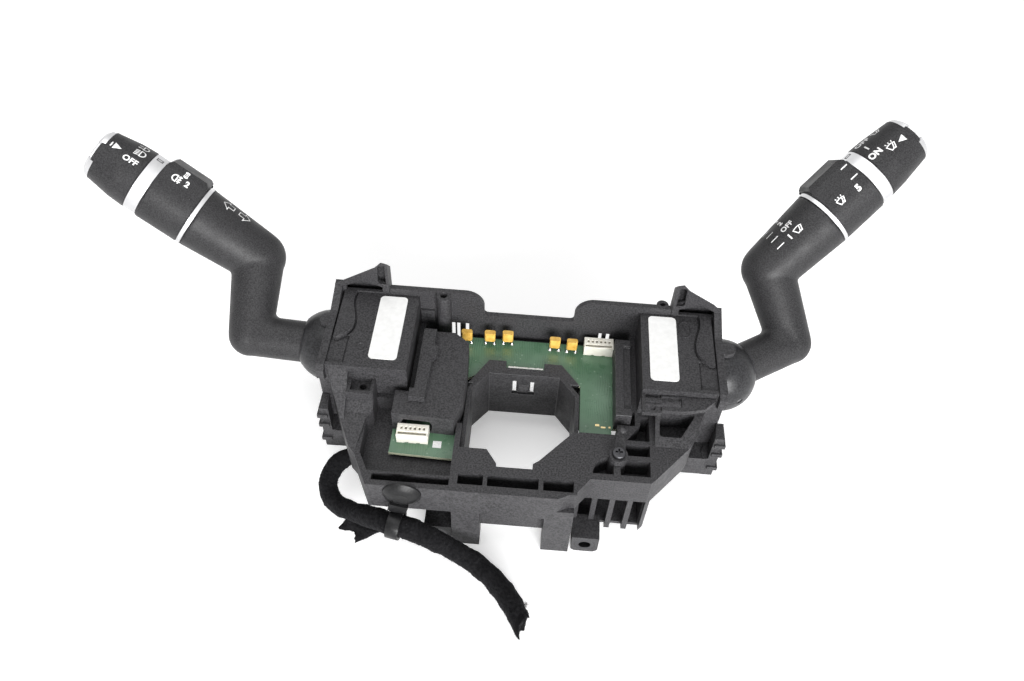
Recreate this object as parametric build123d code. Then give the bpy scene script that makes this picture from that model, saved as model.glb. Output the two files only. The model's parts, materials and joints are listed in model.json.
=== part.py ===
from build123d import *
from math import acos, atan2, cos, degrees, pi, radians, sin, sqrt, tan
import os

# Combination stalk switch: steering column housing with two lever modules.
# Millimetres. The origin is on the steering column's axis, on the plane that the
# housing's feet stand on. +Z runs along the column towards the driver, +X to the
# wiper lever's side and +Y to the upper side of the column.

os.makedirs("parts", exist_ok=True)

# ---------------------------------------------------------------- driving sizes
WALL = 2.5                     # housing wall
THIN = 2.0                     # wall of the smaller mouldings
FIT = 0.05                     # radial clearance of a running fit
GAP = 0.3                      # clearance between faces that must not rub

# Levels above the feet
LEG_TOP = 36.0
SKIRT_BOTTOM = 13.0
TRAY_BOTTOM = 29.0
TRAY_FLOOR = 38.5
TRAY_RIM = 47.0
BACK_LOW = 55.0
BACK_HIGH = 69.0

# Plan of the housing
TRAY_LEFT = -71.0
TRAY_NEAR = -42.0
TRAY_FAR = 52.5
SIDE_X = 52.0                  # where a lever module meets the housing
MODULE_NEAR = 5.5
TOWER_NEAR = -31.0
TOWER_RIGHT = 59.5
TOWER_BOTTOM = 5.5

# Column passage
PASSAGE_HALF = 24.0
PASSAGE_NEAR = -29.5
PASSAGE_FAR = 24.0
SLEEVE_WALL = 2.0
SLEEVE_TOP = 44.0
FLANGE_T = 1.6

# Circuit board
BOARD_TOP = 42.0
BOARD_T = 1.6

# Screw lugs at the near side
LUG_Z = 6.2
LUG_R = 6.2
LUG_X_RIGHT = 33.0
LUG_X_LEFT = -34.0
LUG_NEAR = -41.0
BUSH_R = 4.2
BUSH_BORE_R = 2.75
BUSH_LENGTH = 10.0
BOSS_X, BOSS_Y = 43.2, -19.4   # screw boss on the cable tower
PAD_X, PAD_Y = -71.3, 2.2      # screw pad beside the left module
CLIP_Z = 41.5                  # cable clip in the near wall

# Lever module
CASE_BOTTOM = 27.0
CASE_RIM = 61.0
CASE_FAR = 50.0
LID_TOP = CASE_RIM + 4.0
STRIP_T = 3.5
STRIP_TOP = LID_TOP + 0.5
EAR_TOP = LID_TOP + 20.0
EAR_DEPTH = 6.5                # hollow ear, from its near face to its back
EAR_WALL = 1.6
LEDGE_TOP = 62.0               # latch ledge at the near side of the right case
LEDGE_T = 2.2
GROOVE = 0.9                   # width of the lid's grooves
BALL_R = 17.0
TRUNNION_R = 1.6
TRUNNION_REACH = BALL_R + 1.7
ROOT_R = 14.4                  # ball at the lever's root, inside the pivot ball
CROSS_PIN_R = 1.5
TAIL_HALF = 4.0
TAIL_END = 26.0
PLUNGER_R = 2.0
PLUNGER_TIP = 31.0
PLUNGER_TRAVEL = 1.2
TRACK_R = 31.3

# Lever
ARM_R = 9.8
ARM_ROOT_BEND = 14.5
ARM_NECK_BEND = 13.0
KNEE_R = 12.7
BARREL_R = 15.0
THIN_RING_T = 1.8
SPINDLE_R = 7.0
CAP_R = 14.6
CAP_TIP_R = 12.0
TONGUE = 3.4                   # length of the cap's tongues over the button
TONGUE_ARC = 42.0
BUTTON_R = 9.6
BUTTON_STEM_R = 3.0
BUTTON_TRAVEL = 1.2

# Each side, mirrored to +X: the pivot, the case's outer face, then the lever's bend
# points from the pivot as it rests (the wiper lever rests raised at its top detent).
# Stations are distances along the barrel from its elbow. "facing" is the angle about
# the barrel, from its upper side, of the side that carries the marks.
LEVERS = {
    "left": dict(
        pivot=Vector(92.0, 31.8, 46.0),
        outer=91.8,
        elbow_1=Vector(39.4, 0.8, 2.0),
        elbow_2=Vector(39.5, 32.2, 23.0),
        tip=Vector(107.7, 46.7, 68.0),
        ring=33.0,
        band=56.0,
        cap=62.0,
        end=82.5,
        facing=36.0,
        rib=-40.0,
        sweep=(-10.0, 10.0),
    ),
    "right": dict(
        pivot=Vector(91.3, 31.8, 46.0),
        outer=89.2,
        elbow_1=Vector(35.3, 20.5, 3.0),
        elbow_2=Vector(22.0, 46.7, 26.0),
        tip=Vector(81.6, 92.1, 76.0),
        ring=34.0,
        band=58.5,
        cap=64.5,
        end=88.0,
        facing=23.0,
        rib=-50.0,
        sweep=(-28.0, 0.0),
    ),
}

# Harness: a taped loom, its bend points by hand. It leaves the plug below the left
# wing, drops to the surface, is held to the housing by the clip and ends bare.
LOOM_R = 4.8
LOOM_ROUTE = [
    (-69.0, -12.0, 21.0),
    (-77.8, -12.0, 21.0),
    (-85.4, -17.4, 18.0),
    (-87.2, -26.2, 15.0),
    (-81.8, -34.8, 14.0),
    (-67.5, -41.8, 19.0),
    (-56.0, -46.6, 24.0),
    (-46.3, -48.4, 23.8),
    (-36.0, -49.4, 18.0),
    (-26.5, -50.6, 10.5),
    (-15.5, -53.5, 5.0),
    (-5.3, -61.5, 5.0),
    (3.2, -72.5, 5.0),
    (9.0, -84.0, 5.0),
]
STRAP_RUN = 6                  # the run of the loom that the clip's strap holds

parts = {}


# ---------------------------------------------------------------- helpers
def block(x0, x1, y0, y1, z0, z1):
    """A box between two corners."""
    size = (abs(x1 - x0), abs(y1 - y0), abs(z1 - z0))
    return Pos((x0 + x1) / 2, (y0 + y1) / 2, (z0 + z1) / 2) * Box(*size)


def prism(points, z0, z1):
    """A plan outline raised from z0 to z1."""
    face = make_face(Polyline(*[(x, y, z0) for x, y in points], close=True))
    return extrude(face, amount=z1 - z0, dir=(0, 0, 1))


def soft_prism(points, radius, z0, z1):
    """A plan outline with rounded corners, raised from z0 to z1."""
    face = make_face(Polyline(*points, close=True))
    face = fillet(face.vertices(), radius)
    return extrude(Pos(0, 0, z0) * face, amount=z1 - z0, dir=(0, 0, 1))


def wall_y(points, y0, y1):
    """An outline in X and Z, carried from y0 to y1."""
    face = make_face(Polyline(*[(x, y0, z) for x, z in points], close=True))
    return extrude(face, amount=y1 - y0, dir=(0, 1, 0))


def wall_x(points, x0, x1):
    """An outline in Y and Z, carried from x0 to x1."""
    face = make_face(Polyline(*[(x0, y, z) for y, z in points], close=True))
    return extrude(face, amount=x1 - x0, dir=(1, 0, 0))


def rod(start, end, radius):
    """A round bar between two points."""
    start, end = Vector(*start), Vector(*end)
    run = end - start
    base = Align.CENTER, Align.CENTER, Align.MIN
    return Plane(origin=start, z_dir=run) * Cylinder(radius, run.length, align=base)


def along(plane, z0, z1, radius):
    """A round bar on a plane's normal, from station z0 to station z1."""
    base = Align.CENTER, Align.CENTER, Align.MIN
    return plane * Pos(0, 0, z0) * Cylinder(radius, z1 - z0, align=base)


def turned(plane, profile):
    """A solid of revolution about a plane's normal, from (radius, station) points."""
    face = make_face(Polyline(*[(r, 0, s) for r, s in profile], close=True))
    return plane * revolve(face, Axis.Z, 360)


def coil(plane, start, length, mean_r, wire_r, turns):
    """A helical spring on a plane's normal."""
    path = Helix(pitch=length / turns, height=length, radius=mean_r)
    section = Plane(origin=path @ 0, z_dir=path % 0) * Circle(wire_r)
    return plane * Pos(0, 0, start) * sweep(section, path=path)


def keep(name, shape, side=None):
    """Store one node; a left node is the mirror image of what it is given as."""
    if side == "left":
        shape = mirror(shape, about=Plane.YZ)
    parts[name] = shape


# ---------------------------------------------------------------- column housing
def near_plate():
    """Plate between the passage and the near wall, with its notch and diagonal."""
    outline = [
        (-26.0, -39.5), (26.0, -39.5), (26.0, -8.0), (23.5, -8.0), (9.0, -24.0),
        (6.5, -25.8), (6.5, -28.5), (-9.2, -28.5), (-9.2, -27.0), (-14.0, -20.0),
        (-24.4, -20.0), (-26.0, -20.0),
    ]
    return prism(outline, SLEEVE_TOP, TRAY_RIM)


def tower():
    """Cable tower: cells in its top, a slatted near face and a boss."""
    corner = 2.0
    outline = [
        (26.0, TOWER_NEAR), (TOWER_RIGHT - corner, TOWER_NEAR), (TOWER_RIGHT, TOWER_NEAR + corner),
        (TOWER_RIGHT, MODULE_NEAR), (51.0, MODULE_NEAR), (51.0, -2.0), (43.0, -2.0),
        (43.0, -7.5), (26.0, -7.5),
    ]
    body = prism(outline, TOWER_BOTTOM, TRAY_RIM)
    body += prism([(26.0, -38.0), (31.5, TOWER_NEAR), (31.5, -30.0), (26.0, -30.0)], 33.5, TRAY_RIM)
    near_wall, right_wall = TOWER_NEAR + WALL, TOWER_RIGHT - WALL
    body -= block(28.5, right_wall, near_wall, -10.0, TOWER_BOTTOM + THIN, 33.5)
    cell_floor = 36.0
    for x0, x1, y0, y1 in ((46.7, 57.3, -17.8, -12.0), (44.4, 57.3, -27.9, -20.2)):
        body -= block(x0, x1, y0, y1, cell_floor, TRAY_RIM + 1)
    far_cell = [(47.2, -9.8), (57.3, -9.8), (57.3, 3.0), (53.4, 3.0), (53.4, -1.0)]
    body -= prism(far_cell, cell_floor, TRAY_RIM + 1)
    base = Align.CENTER, Align.CENTER, Align.MIN
    quarter = Pos(41.4, -27.9, cell_floor) * Cylinder(9.0, 20.0, align=base)
    body -= quarter & block(32.0, 41.4, -27.9, -15.0, cell_floor, TRAY_RIM + 5)
    # slats: equal slots through the near wall and out of its foot
    for i in range(4):
        x0 = 28.5 + 7.8 * i
        body -= block(x0, x0 + 5.4, TOWER_NEAR - 1, near_wall, TOWER_BOTTOM - 1, 31.0)
    # boss, with an arm to a small dome
    body += Pos(BOSS_X, BOSS_Y, 33.5) * Cylinder(4.0, 16.5, align=base)
    arm = [(BOSS_X - 3.0, BOSS_Y), (BOSS_X + 3.0, BOSS_Y), (46.6, -5.4), (43.6, -4.4)]
    body += prism(arm, TRAY_RIM - 1, TRAY_RIM + 1.8)
    body += Pos(45.1, -5.8, TRAY_RIM - 1) * Cylinder(2.3, 3.4, align=base)
    body += Pos(45.1, -5.8, TRAY_RIM + 1.4) * Sphere(2.3)
    body -= rod((BOSS_X, BOSS_Y, 41.0), (BOSS_X, BOSS_Y, 51.0), 1.6)
    return body


def leg(x0, x1, y_out, y_in, top):
    """Hollow foot, open on its inner side."""
    body = block(x0, x1, y_out, y_in, 0.0, top)
    step = 1 if y_in > y_out else -1
    cut_y = y_out + step * WALL
    return body - block(x0 + WALL, x1 - WALL, cut_y, y_in + step, -1.0, top - 3.0)


def lug(x):
    """Screw lug with a round nose, bored for its bush."""
    back = -29.0
    body = block(x - LUG_R, x + LUG_R, LUG_NEAR, back, 0.0, LUG_Z + LUG_R)
    bottom = [e for e in body.edges().filter_by(Axis.Y) if e.center().Z < 1]
    body = fillet(bottom, 3.0)
    body -= rod((x, LUG_NEAR - 1, LUG_Z), (x, LUG_NEAR + BUSH_LENGTH, LUG_Z), BUSH_R)
    return body


def back_wall():
    """Upper wall of the housing: low in the middle, raised behind each module."""
    low = 21.5
    high = 31.0
    outline = [
        (-66.0, TRAY_BOTTOM), (66.0, TRAY_BOTTOM), (66.0, BACK_HIGH),
        (low, BACK_HIGH), (low, BACK_LOW), (-low, BACK_LOW), (-low, BACK_HIGH),
        (-66.0, BACK_HIGH),
    ]
    body = wall_y(outline, 50.0, TRAY_FAR)
    crest = [
        e
        for e in body.edges().filter_by(Axis.Y)
        if abs(abs(e.center().X) - low) < 0.1 and e.center().Z > BACK_HIGH - 1
    ]
    step = BACK_HIGH - BACK_LOW
    body = fillet(crest, min(9.0, 0.7 * step))
    foot = [
        e
        for e in body.edges().filter_by(Axis.Y)
        if abs(abs(e.center().X) - low) < 0.1 and e.center().Z < BACK_LOW + 1
    ]
    body = fillet(foot, min(2.0, 0.2 * step))
    for x, y, base, radius in ((-40.5, 48.6, 43.0, 3.4), (62.0, 53.1, BACK_HIGH - 9.0, 2.8)):
        body += rod((x, y, base), (x, y, BACK_HIGH - 0.5), radius)
        body -= rod((x, y, base + 2), (x, y, BACK_HIGH), radius / 2)
    body += block(-51.6, -45.2, 48.8, 50.5, 50.0, 56.8)
    return body


def left_wing():
    """Saddle between the left module and the tray, sloping down to the tray's rim."""
    plan = [
        (TRAY_LEFT, -27.0), (-74.0, -24.0), (-87.2, MODULE_NEAR), (-66.0, MODULE_NEAR),
        (-66.0, -6.0), (TRAY_LEFT + WALL, -10.0),
    ]
    body = prism(plan, 29.0, 64.0)
    slope_top = [(-30.0, 46.5), (-8.0, 49.5), (6.0, 57.0), (6.0, 70.0), (-30.0, 70.0)]
    body -= wall_x(slope_top, -78.0, -60.0)
    saddle_top = [(-30.0, 46.5), (-12.0, 49.0), (-2.0, 56.0), (6.0, 63.5), (6.0, 70.0), (-30.0, 70.0)]
    body -= wall_x(saddle_top, -95.0, -78.0)
    slope_under = [(-30.0, 20.0), (-30.0, 43.5), (-9.0, 46.0), (3.0, 53.0), (3.0, 20.0)]
    inner = [
        (TRAY_LEFT, -24.0), (-73.0, -21.5), (-83.8, 3.0), (-68.5, 3.0), (-68.5, -6.0),
    ]
    body -= prism(inner, 20.0, 60.0) & wall_x(slope_under, -95.0, -60.0)
    return body


def right_wing():
    """Funnel between the tower and the right module."""
    plan = [
        (TOWER_RIGHT, TOWER_NEAR + 2.0), (75.5, -11.0), (82.0, MODULE_NEAR),
        (TOWER_RIGHT, MODULE_NEAR),
    ]
    body = prism(plan, 29.0, 54.0)
    slope_top = [(-32.0, TRAY_RIM), (-12.0, TRAY_RIM), (6.0, 53.0), (6.0, 70.0), (-32.0, 70.0)]
    body -= wall_x(slope_top, 50.0, 95.0)
    pit = prism([(61.5, -7.5), (71.0, -7.5), (78.0, 3.5), (61.5, 3.5)], 40.5, 60.0)
    pit = fillet(pit.edges().filter_by(Axis.Z), 1.5)
    under = prism([(61.5, -26.0), (72.0, -11.5), (61.5, -11.5)], 28.0, TRAY_RIM - WALL)
    under += prism([(61.5, -11.5), (72.0, -11.5), (78.4, 3.0), (61.5, 3.0)], 28.0, 38.0)
    return body - pit - under


def main_housing():
    outline = [
        (-63.5, TRAY_NEAR), (18.0, TRAY_NEAR), (26.0, -38.0), (26.0, MODULE_NEAR),
        (SIDE_X, MODULE_NEAR), (SIDE_X, TRAY_FAR), (-SIDE_X, TRAY_FAR),
        (-SIDE_X, MODULE_NEAR), (TRAY_LEFT, MODULE_NEAR), (TRAY_LEFT, -27.0),
    ]
    body = prism(outline, TRAY_BOTTOM, TRAY_RIM)
    # the board's recess, and the deeper trough along the near wall
    recess = [
        (-60.3, -35.0), (-28.5, -35.0), (-28.5, -7.5), (49.5, -7.5), (49.5, 50.0),
        (-49.5, 50.0), (-49.5, 3.0), (-68.5, 3.0), (-68.5, -26.3), (-64.0, -35.0),
    ]
    body -= prism(recess, TRAY_FLOOR, TRAY_RIM + 1)
    body -= block(-61.5, -28.5, -39.5, -36.0, 32.0, TRAY_RIM + 1)
    # underside, hollow between the walls
    under = [
        (-61.0, -33.5), (-30.0, -33.5), (-30.0, 28.5), (-30.0, 47.5), (-49.5, 47.5),
        (-49.5, 3.0), (-68.5, 3.0), (-68.5, -26.0),
    ]
    body -= prism(under, TRAY_BOTTOM - 1, TRAY_FLOOR - WALL)
    body -= block(-27.5, 47.5, 28.5, 47.5, TRAY_BOTTOM - 1, TRAY_FLOOR - WALL)
    body -= block(28.5, 47.5, -5.0, 28.5, TRAY_BOTTOM - 1, TRAY_FLOOR - WALL)
    # near middle: plate, cells behind the rim, recessed panel and skirt
    sleeve_half = PASSAGE_HALF + SLEEVE_WALL
    sleeve_near = PASSAGE_NEAR - SLEEVE_WALL
    sleeve_far = PASSAGE_FAR + SLEEVE_WALL
    passage = block(-sleeve_half, sleeve_half, sleeve_near, sleeve_far, 0.0, TRAY_RIM + 1)
    body += block(-27.5, 26.0, -38.0, sleeve_near, SKIRT_BOTTOM, LEG_TOP)
    body += block(-27.5, 26.0, -39.5, sleeve_near, LEG_TOP, TRAY_RIM)
    body -= passage
    body += near_plate()
    for x0, x1 in ((-25.0, -14.2), (-12.4, 9.5), (11.5, 24.5)):
        body -= block(x0, x1, -38.3, -33.0, 37.0, TRAY_RIM + 1)
    body -= block(-25.0, 24.0, -36.0, sleeve_near - 1.5, SKIRT_BOTTOM - 1, 34.5)
    body += tower() - passage
    body += leg(-27.5, -15.0, TRAY_NEAR, -34.0, LEG_TOP)
    body += leg(13.2, 25.7, TRAY_NEAR, -34.0, LEG_TOP)
    body += leg(-27.5, -15.0, 44.0, 34.0, TRAY_FLOOR - WALL)
    body += leg(13.2, 25.7, 44.0, 34.0, TRAY_FLOOR - WALL)
    body += lug(LUG_X_RIGHT)
    body += lug(LUG_X_LEFT)
    body += block(-38.0, -30.0, -33.0, -29.0, LUG_Z + BUSH_R + 1.0, TRAY_BOTTOM + 7)
    body += back_wall()
    slots = ((-37.4, -35.5), (-34.9, -33.1), (-30.6, -28.8), (34.3, 36.0), (37.9, 39.8))
    for x0, x1 in slots:
        body -= block(x0, x1, 49.0, 53.5, 34.0, 48.2)
    body += left_wing()
    body += right_wing()
    # pad for the left module's screw
    body += block(-78.0, -66.0, -3.0, MODULE_NEAR, 50.0, 57.5)
    body -= block(-76.5, -67.5, -1.5, MODULE_NEAR + 1, 55.0, 58.0)
    body -= rod((PAD_X, PAD_Y, 44.0), (PAD_X, PAD_Y, 60.0), 1.6)
    # hole for the cable clip's stem, in the near wall
    body -= rod((-48.2, -38.0, CLIP_Z), (-48.2, -45.0, CLIP_Z), 2.2)
    return body


def column_sleeve():
    """Rectangular sleeve round the column, with its flange and a snap latch."""
    half = PASSAGE_HALF + SLEEVE_WALL
    near = PASSAGE_NEAR - SLEEVE_WALL
    far = PASSAGE_FAR + SLEEVE_WALL
    outside = [
        (-half, near), (half, near), (half, 15.0), (17.5, far), (-17.5, far), (-half, 15.0),
    ]
    body = prism(outside, SKIRT_BOTTOM, SLEEVE_TOP)
    bore = [
        (-PASSAGE_HALF, PASSAGE_NEAR), (PASSAGE_HALF, PASSAGE_NEAR),
        (PASSAGE_HALF, 14.2), (16.5, PASSAGE_FAR), (-16.5, PASSAGE_FAR),
        (-PASSAGE_HALF, 14.2),
    ]
    flange = [
        (-half, 17.5), (-17.3, 32.0), (-9.0, 32.0), (-9.0, 28.0), (9.0, 28.0),
        (9.0, 32.0), (17.3, 32.0), (half, 20.7),
    ]
    body += prism(flange, SLEEVE_TOP - FLANGE_T, SLEEVE_TOP)
    body -= prism(bore, SKIRT_BOTTOM - 1, SLEEVE_TOP + 1)
    for x0, x1 in ((-5.7, -3.1), (2.6, 5.2)):
        body -= block(x0, x1, PASSAGE_FAR - 1, far + 1, 30.5, 39.0)
    body -= block(-5.7, 5.2, PASSAGE_FAR - 1, far + 1, 29.0, 30.6)
    body += wall_x([(24.0, 31.0), (22.4, 33.0), (22.4, 34.0), (24.0, 36.5)], -2.6, 2.1)
    return body


def circuit_board():
    outline = [
        (-57.0, -22.4), (-28.8, -23.4), (-28.8, 20.0), (-16.0, 28.5), (16.0, 28.5),
        (26.5, 21.5), (26.5, -7.3), (41.0, -7.3), (41.0, -1.0), (49.0, -1.0),
        (49.0, 46.5), (-49.0, 46.5), (-49.0, 2.5), (-57.0, 2.5),
    ]
    body = prism(outline, BOARD_TOP - BOARD_T, BOARD_TOP)
    body -= block(-45.0, -36.0, 42.5, 50.0, 40.0, 43.0)
    return body


def pin_header(x, y):
    """Six-way board connector with a slotted mouth; 2 mm pitch."""
    width, depth, height = 14.0, 6.4, 6.0
    top = BOARD_TOP + height
    body = block(x - width / 2, x + width / 2, y - depth / 2, y + depth / 2, BOARD_TOP, top)
    body -= block(x - 6.3, x + 6.3, y - 2.4, y - 1.0, BOARD_TOP + 2, top + 1)
    for i in range(6):
        pin = x - 5.0 + 2.0 * i
        body -= block(pin - 0.45, pin + 0.45, y + 0.2, y + 1.6, BOARD_TOP + 2.5, top + 1)
    for i in (-1, 1):
        mid = x + i * 2.6
        body -= block(mid - 0.8, mid + 0.8, y - depth, y - 2.9, BOARD_TOP - 1, BOARD_TOP + 1.2)
    return body


def capacitors():
    """Five dipped film capacitors, each on two leads."""
    group = []
    for x, y in ((-29.1, 43.4), (-18.0, 43.8), (-9.4, 44.4), (13.4, 42.7), (21.6, 42.3)):
        body = block(x - 2.6, x + 2.6, y - 1.3, y + 1.3, BOARD_TOP + 2.6, BOARD_TOP + 8.2)
        body = fillet(body.edges().filter_by(Axis.Z), 1.0)
        for dx in (-2.1, 2.1):
            lead = block(x + dx - 0.3, x + dx + 0.3, y - 0.3, y + 0.3, BOARD_TOP, BOARD_TOP + 3.2)
            body += lead
        group.append(body)
    return Compound(children=group)


def inner_cover():
    """Low black cover over the board on the left, with a raised rib."""
    outline = [
        (-57.0, -10.0), (-29.4, -11.2), (-26.4, 1.0), (-26.0, 14.0), (-27.0, 33.0),
        (-34.0, 38.5), (-48.9, 38.5), (-48.9, 2.7), (-57.0, 2.7),
    ]
    body = prism(outline, BOARD_TOP, 54.0)
    scoop = rod((-46.0, -12.5, 46.5), (-46.0, -4.0, 46.5), 7.0)
    body -= scoop & block(-60.0, -30.0, -14.0, -4.0, BOARD_TOP - 1, 50.5)
    body -= soft_prism(
        [(-55.0, -1.0), (-31.0, -1.0), (-28.6, 12.0), (-29.6, 31.0), (-35.0, 36.0),
         (-46.5, 36.0), (-46.5, 0.8), (-55.0, 0.8)], 0.8, BOARD_TOP - 1, 52.0)
    rib = [
        (-50.5, -2.5), (-43.3, -2.5), (-42.6, 20.0), (-40.6, 23.0), (-40.6, 27.0),
        (-42.6, 29.0), (-42.6, 37.5), (-48.5, 37.5), (-48.5, 2.5), (-50.5, 2.5),
    ]
    body += prism(rib, 53.0, 57.0)
    return body


def inner_bar():
    """Low black cover over the board's right edge."""
    body = block(41.6, 48.9, -1.0, 43.0, BOARD_TOP, 53.0)
    body -= block(43.4, 47.1, 1.0, 41.0, BOARD_TOP - 1, 51.0)
    body -= block(45.5, 49.5, 3.0, 39.0, 51.8, 54.0)
    return body


def bushes():
    """Two flanged steel bushes that line the screw lugs."""
    group = []
    for x in (LUG_X_LEFT, LUG_X_RIGHT):
        body = rod((x, LUG_NEAR, LUG_Z), (x, LUG_NEAR + BUSH_LENGTH, LUG_Z), BUSH_R)
        body -= rod((x, LUG_NEAR - 1, LUG_Z), (x, LUG_NEAR + BUSH_LENGTH + 1, LUG_Z), BUSH_BORE_R)
        group.append(body)
    return Compound(children=group)


def screw(x, y, seat):
    """Pan-head thread-forming screw, driven down from above."""
    head = Pos(x, y, seat) * Cylinder(3.0, 2.0, align=(Align.CENTER, Align.CENTER, Align.MIN))
    head = fillet(head.edges().sort_by(Axis.Z)[-1], 0.8)
    head -= Pos(x, y, seat + 0.9) * Box(3.2, 0.8, 2.2, align=(Align.CENTER, Align.CENTER, Align.MIN))
    head -= Pos(x, y, seat + 0.9) * Box(0.8, 3.2, 2.2, align=(Align.CENTER, Align.CENTER, Align.MIN))
    return head + rod((x, y, seat - 8.0), (x, y, seat), 1.5)


def cable_clip():
    """Mushroom-headed clip in the near wall; its strap goes round the loom."""
    x, z = -48.2, CLIP_Z
    seat = TRAY_NEAR
    wall_plane = Plane(origin=(x, seat, z), x_dir=(1, 0, 0), z_dir=(0, -1, 0))
    dome = [(0, 0), (8.4, 0), (8.2, 0.8), (6.0, 2.4), (3.4, 3.2), (0, 3.2)]
    head = turned(wall_plane, dome)
    stem = rod((x, -38.5, z), (x, seat, z), 2.15)
    a, b = Vector(*LOOM_ROUTE[STRAP_RUN]), Vector(*LOOM_ROUTE[STRAP_RUN + 1])
    middle = (a + b) / 2
    hold = Plane(origin=middle, z_dir=b - a)
    ring = along(hold, -2.9, 2.9, LOOM_R + 1.7) - along(hold, -4.0, 4.0, LOOM_R + 0.6)
    top = Vector(x, seat - 2.2, z - 1.0)
    foot = Vector(middle.X, middle.Y + 3.2, middle.Z + LOOM_R + 1.2)
    run = foot - top
    strap_plane = Plane(origin=top, x_dir=(1, 0, 0), z_dir=run)
    base = Align.CENTER, Align.CENTER, Align.MIN
    strap = strap_plane * Box(5.8, 1.6, run.length, align=base)
    strap -= along(hold, -9.0, 9.0, LOOM_R + 0.6)
    lock = strap_plane * Pos(0, 0, 3.0) * Box(8.0, 4.2, 5.0, align=base)
    return head + stem + strap + lock + ring


def loom():
    """The taped loom: straight runs joined by arcs as large as the runs allow."""
    pts = [Vector(*p) for p in LOOM_ROUTE]
    radii = []
    for a, b, c in zip(pts, pts[1:], pts[2:]):
        turn = radians((b - a).get_angle(c - b))
        radii.append(0.45 * min((b - a).length, (c - b).length) / tan(turn / 2))
    print("loom arc radii", [round(r, 1) for r in radii])
    path = FilletPolyline(*pts, radius=radii)
    print("loom length", round(path.length, 1))
    section = Plane(origin=path @ 0, z_dir=path % 0) * Circle(LOOM_R)
    tube = sweep(section, path=path)
    print("loom volume over section times length", round(tube.volume / (pi * LOOM_R**2 * path.length), 4))
    return tube


def loom_plug():
    """Plug of the loom, hanging below the left wing."""
    body = block(LOOM_ROUTE[0][0], -53.0, -17.5, -6.5, 13.0, 27.0)
    body = fillet(body.edges().filter_by(Axis.X), 1.2)
    body += block(-61.0, -54.0, -14.0, -10.0, 27.0, 36.0)
    return body


# ---------------------------------------------------------------- lever module
def radial(azimuth):
    """Unit vector in plan at an angle from +X."""
    return Vector(cos(radians(azimuth)), sin(radians(azimuth)), 0)


def slanted(points, y0, y1):
    """An outline in X and Z at y0, carried back to y1 and down as it goes."""
    face = make_face(Polyline(*[(x, y0, z) for x, z in points], close=True))
    reach = Vector(0, y1 - y0, -1.2 * (y1 - y0))
    return extrude(face, amount=reach.length, dir=reach)


def ear(out):
    """Hollow ear behind the case, open under an arch and at its inner end."""
    outside = [
        (66.3, 56.0), (66.3, EAR_TOP), (69.0, EAR_TOP + 0.8), (72.0, 82.4), (84.5, 74.5),
        (out, 70.0), (out, 56.0),
    ]
    inside = [
        (67.4, 58.0), (67.4, EAR_TOP - 2.2), (70.0, EAR_TOP - 2.2), (72.2, 80.0), (83.6, 72.8),
        (out - 2.6, 68.6), (out - 2.6, 58.0),
    ]
    back = CASE_FAR + EAR_DEPTH
    body = slanted(outside, CASE_FAR, back)
    body -= slanted(inside, CASE_FAR + EAR_WALL, back - EAR_WALL)
    body += block(66.3, out, CASE_FAR - THIN, TRAY_FAR, 52.0, LID_TOP - 2.0) - block(
        66.3, out, CASE_FAR - THIN - 1, CASE_FAR, CASE_RIM - 1, LID_TOP
    )
    arch = [
        (69.5, 66.0), (69.5, 69.4), (73.0, 70.6), (79.0, 73.2), (83.4, 70.6), (86.6, 69.0),
        (86.6, 66.0),
    ]
    body -= wall_y(arch, CASE_FAR - 1, CASE_FAR + EAR_WALL + 0.1)
    end_slot = [(67.6, 71.4), (67.6, 83.6), (70.8, 83.0), (71.4, 73.0), (70.6, 71.8)]
    body -= wall_y(end_slot, CASE_FAR - 1, CASE_FAR + EAR_WALL + 0.1)
    return body


def ledge(out):
    """Latch ledge of the right case, with its two latch windows."""
    low = LEDGE_TOP - LEDGE_T
    outline = [
        (52.0, MODULE_NEAR + 1), (52.0, -4.6), (60.3, -4.6), (60.3, -3.0), (70.1, -3.0),
        (79.3, -1.0), (84.6, 4.2), (84.6, MODULE_NEAR + 1),
    ]
    body = prism(outline, low, LEDGE_TOP)
    for x0, x1, y0, y1 in (
        (53.6, 60.6, 3.2, MODULE_NEAR),
        (53.6, 60.6, -3.2, 1.6),
        (60.5, 69.5, -0.8, 4.3),
    ):
        body -= block(x0, x1, y0, y1, low - 1, LEDGE_TOP + 1)
    return body - block(50.0, out, MODULE_NEAR - GAP, MODULE_NEAR + 2, CASE_RIM, LEDGE_TOP + 1)


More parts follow.
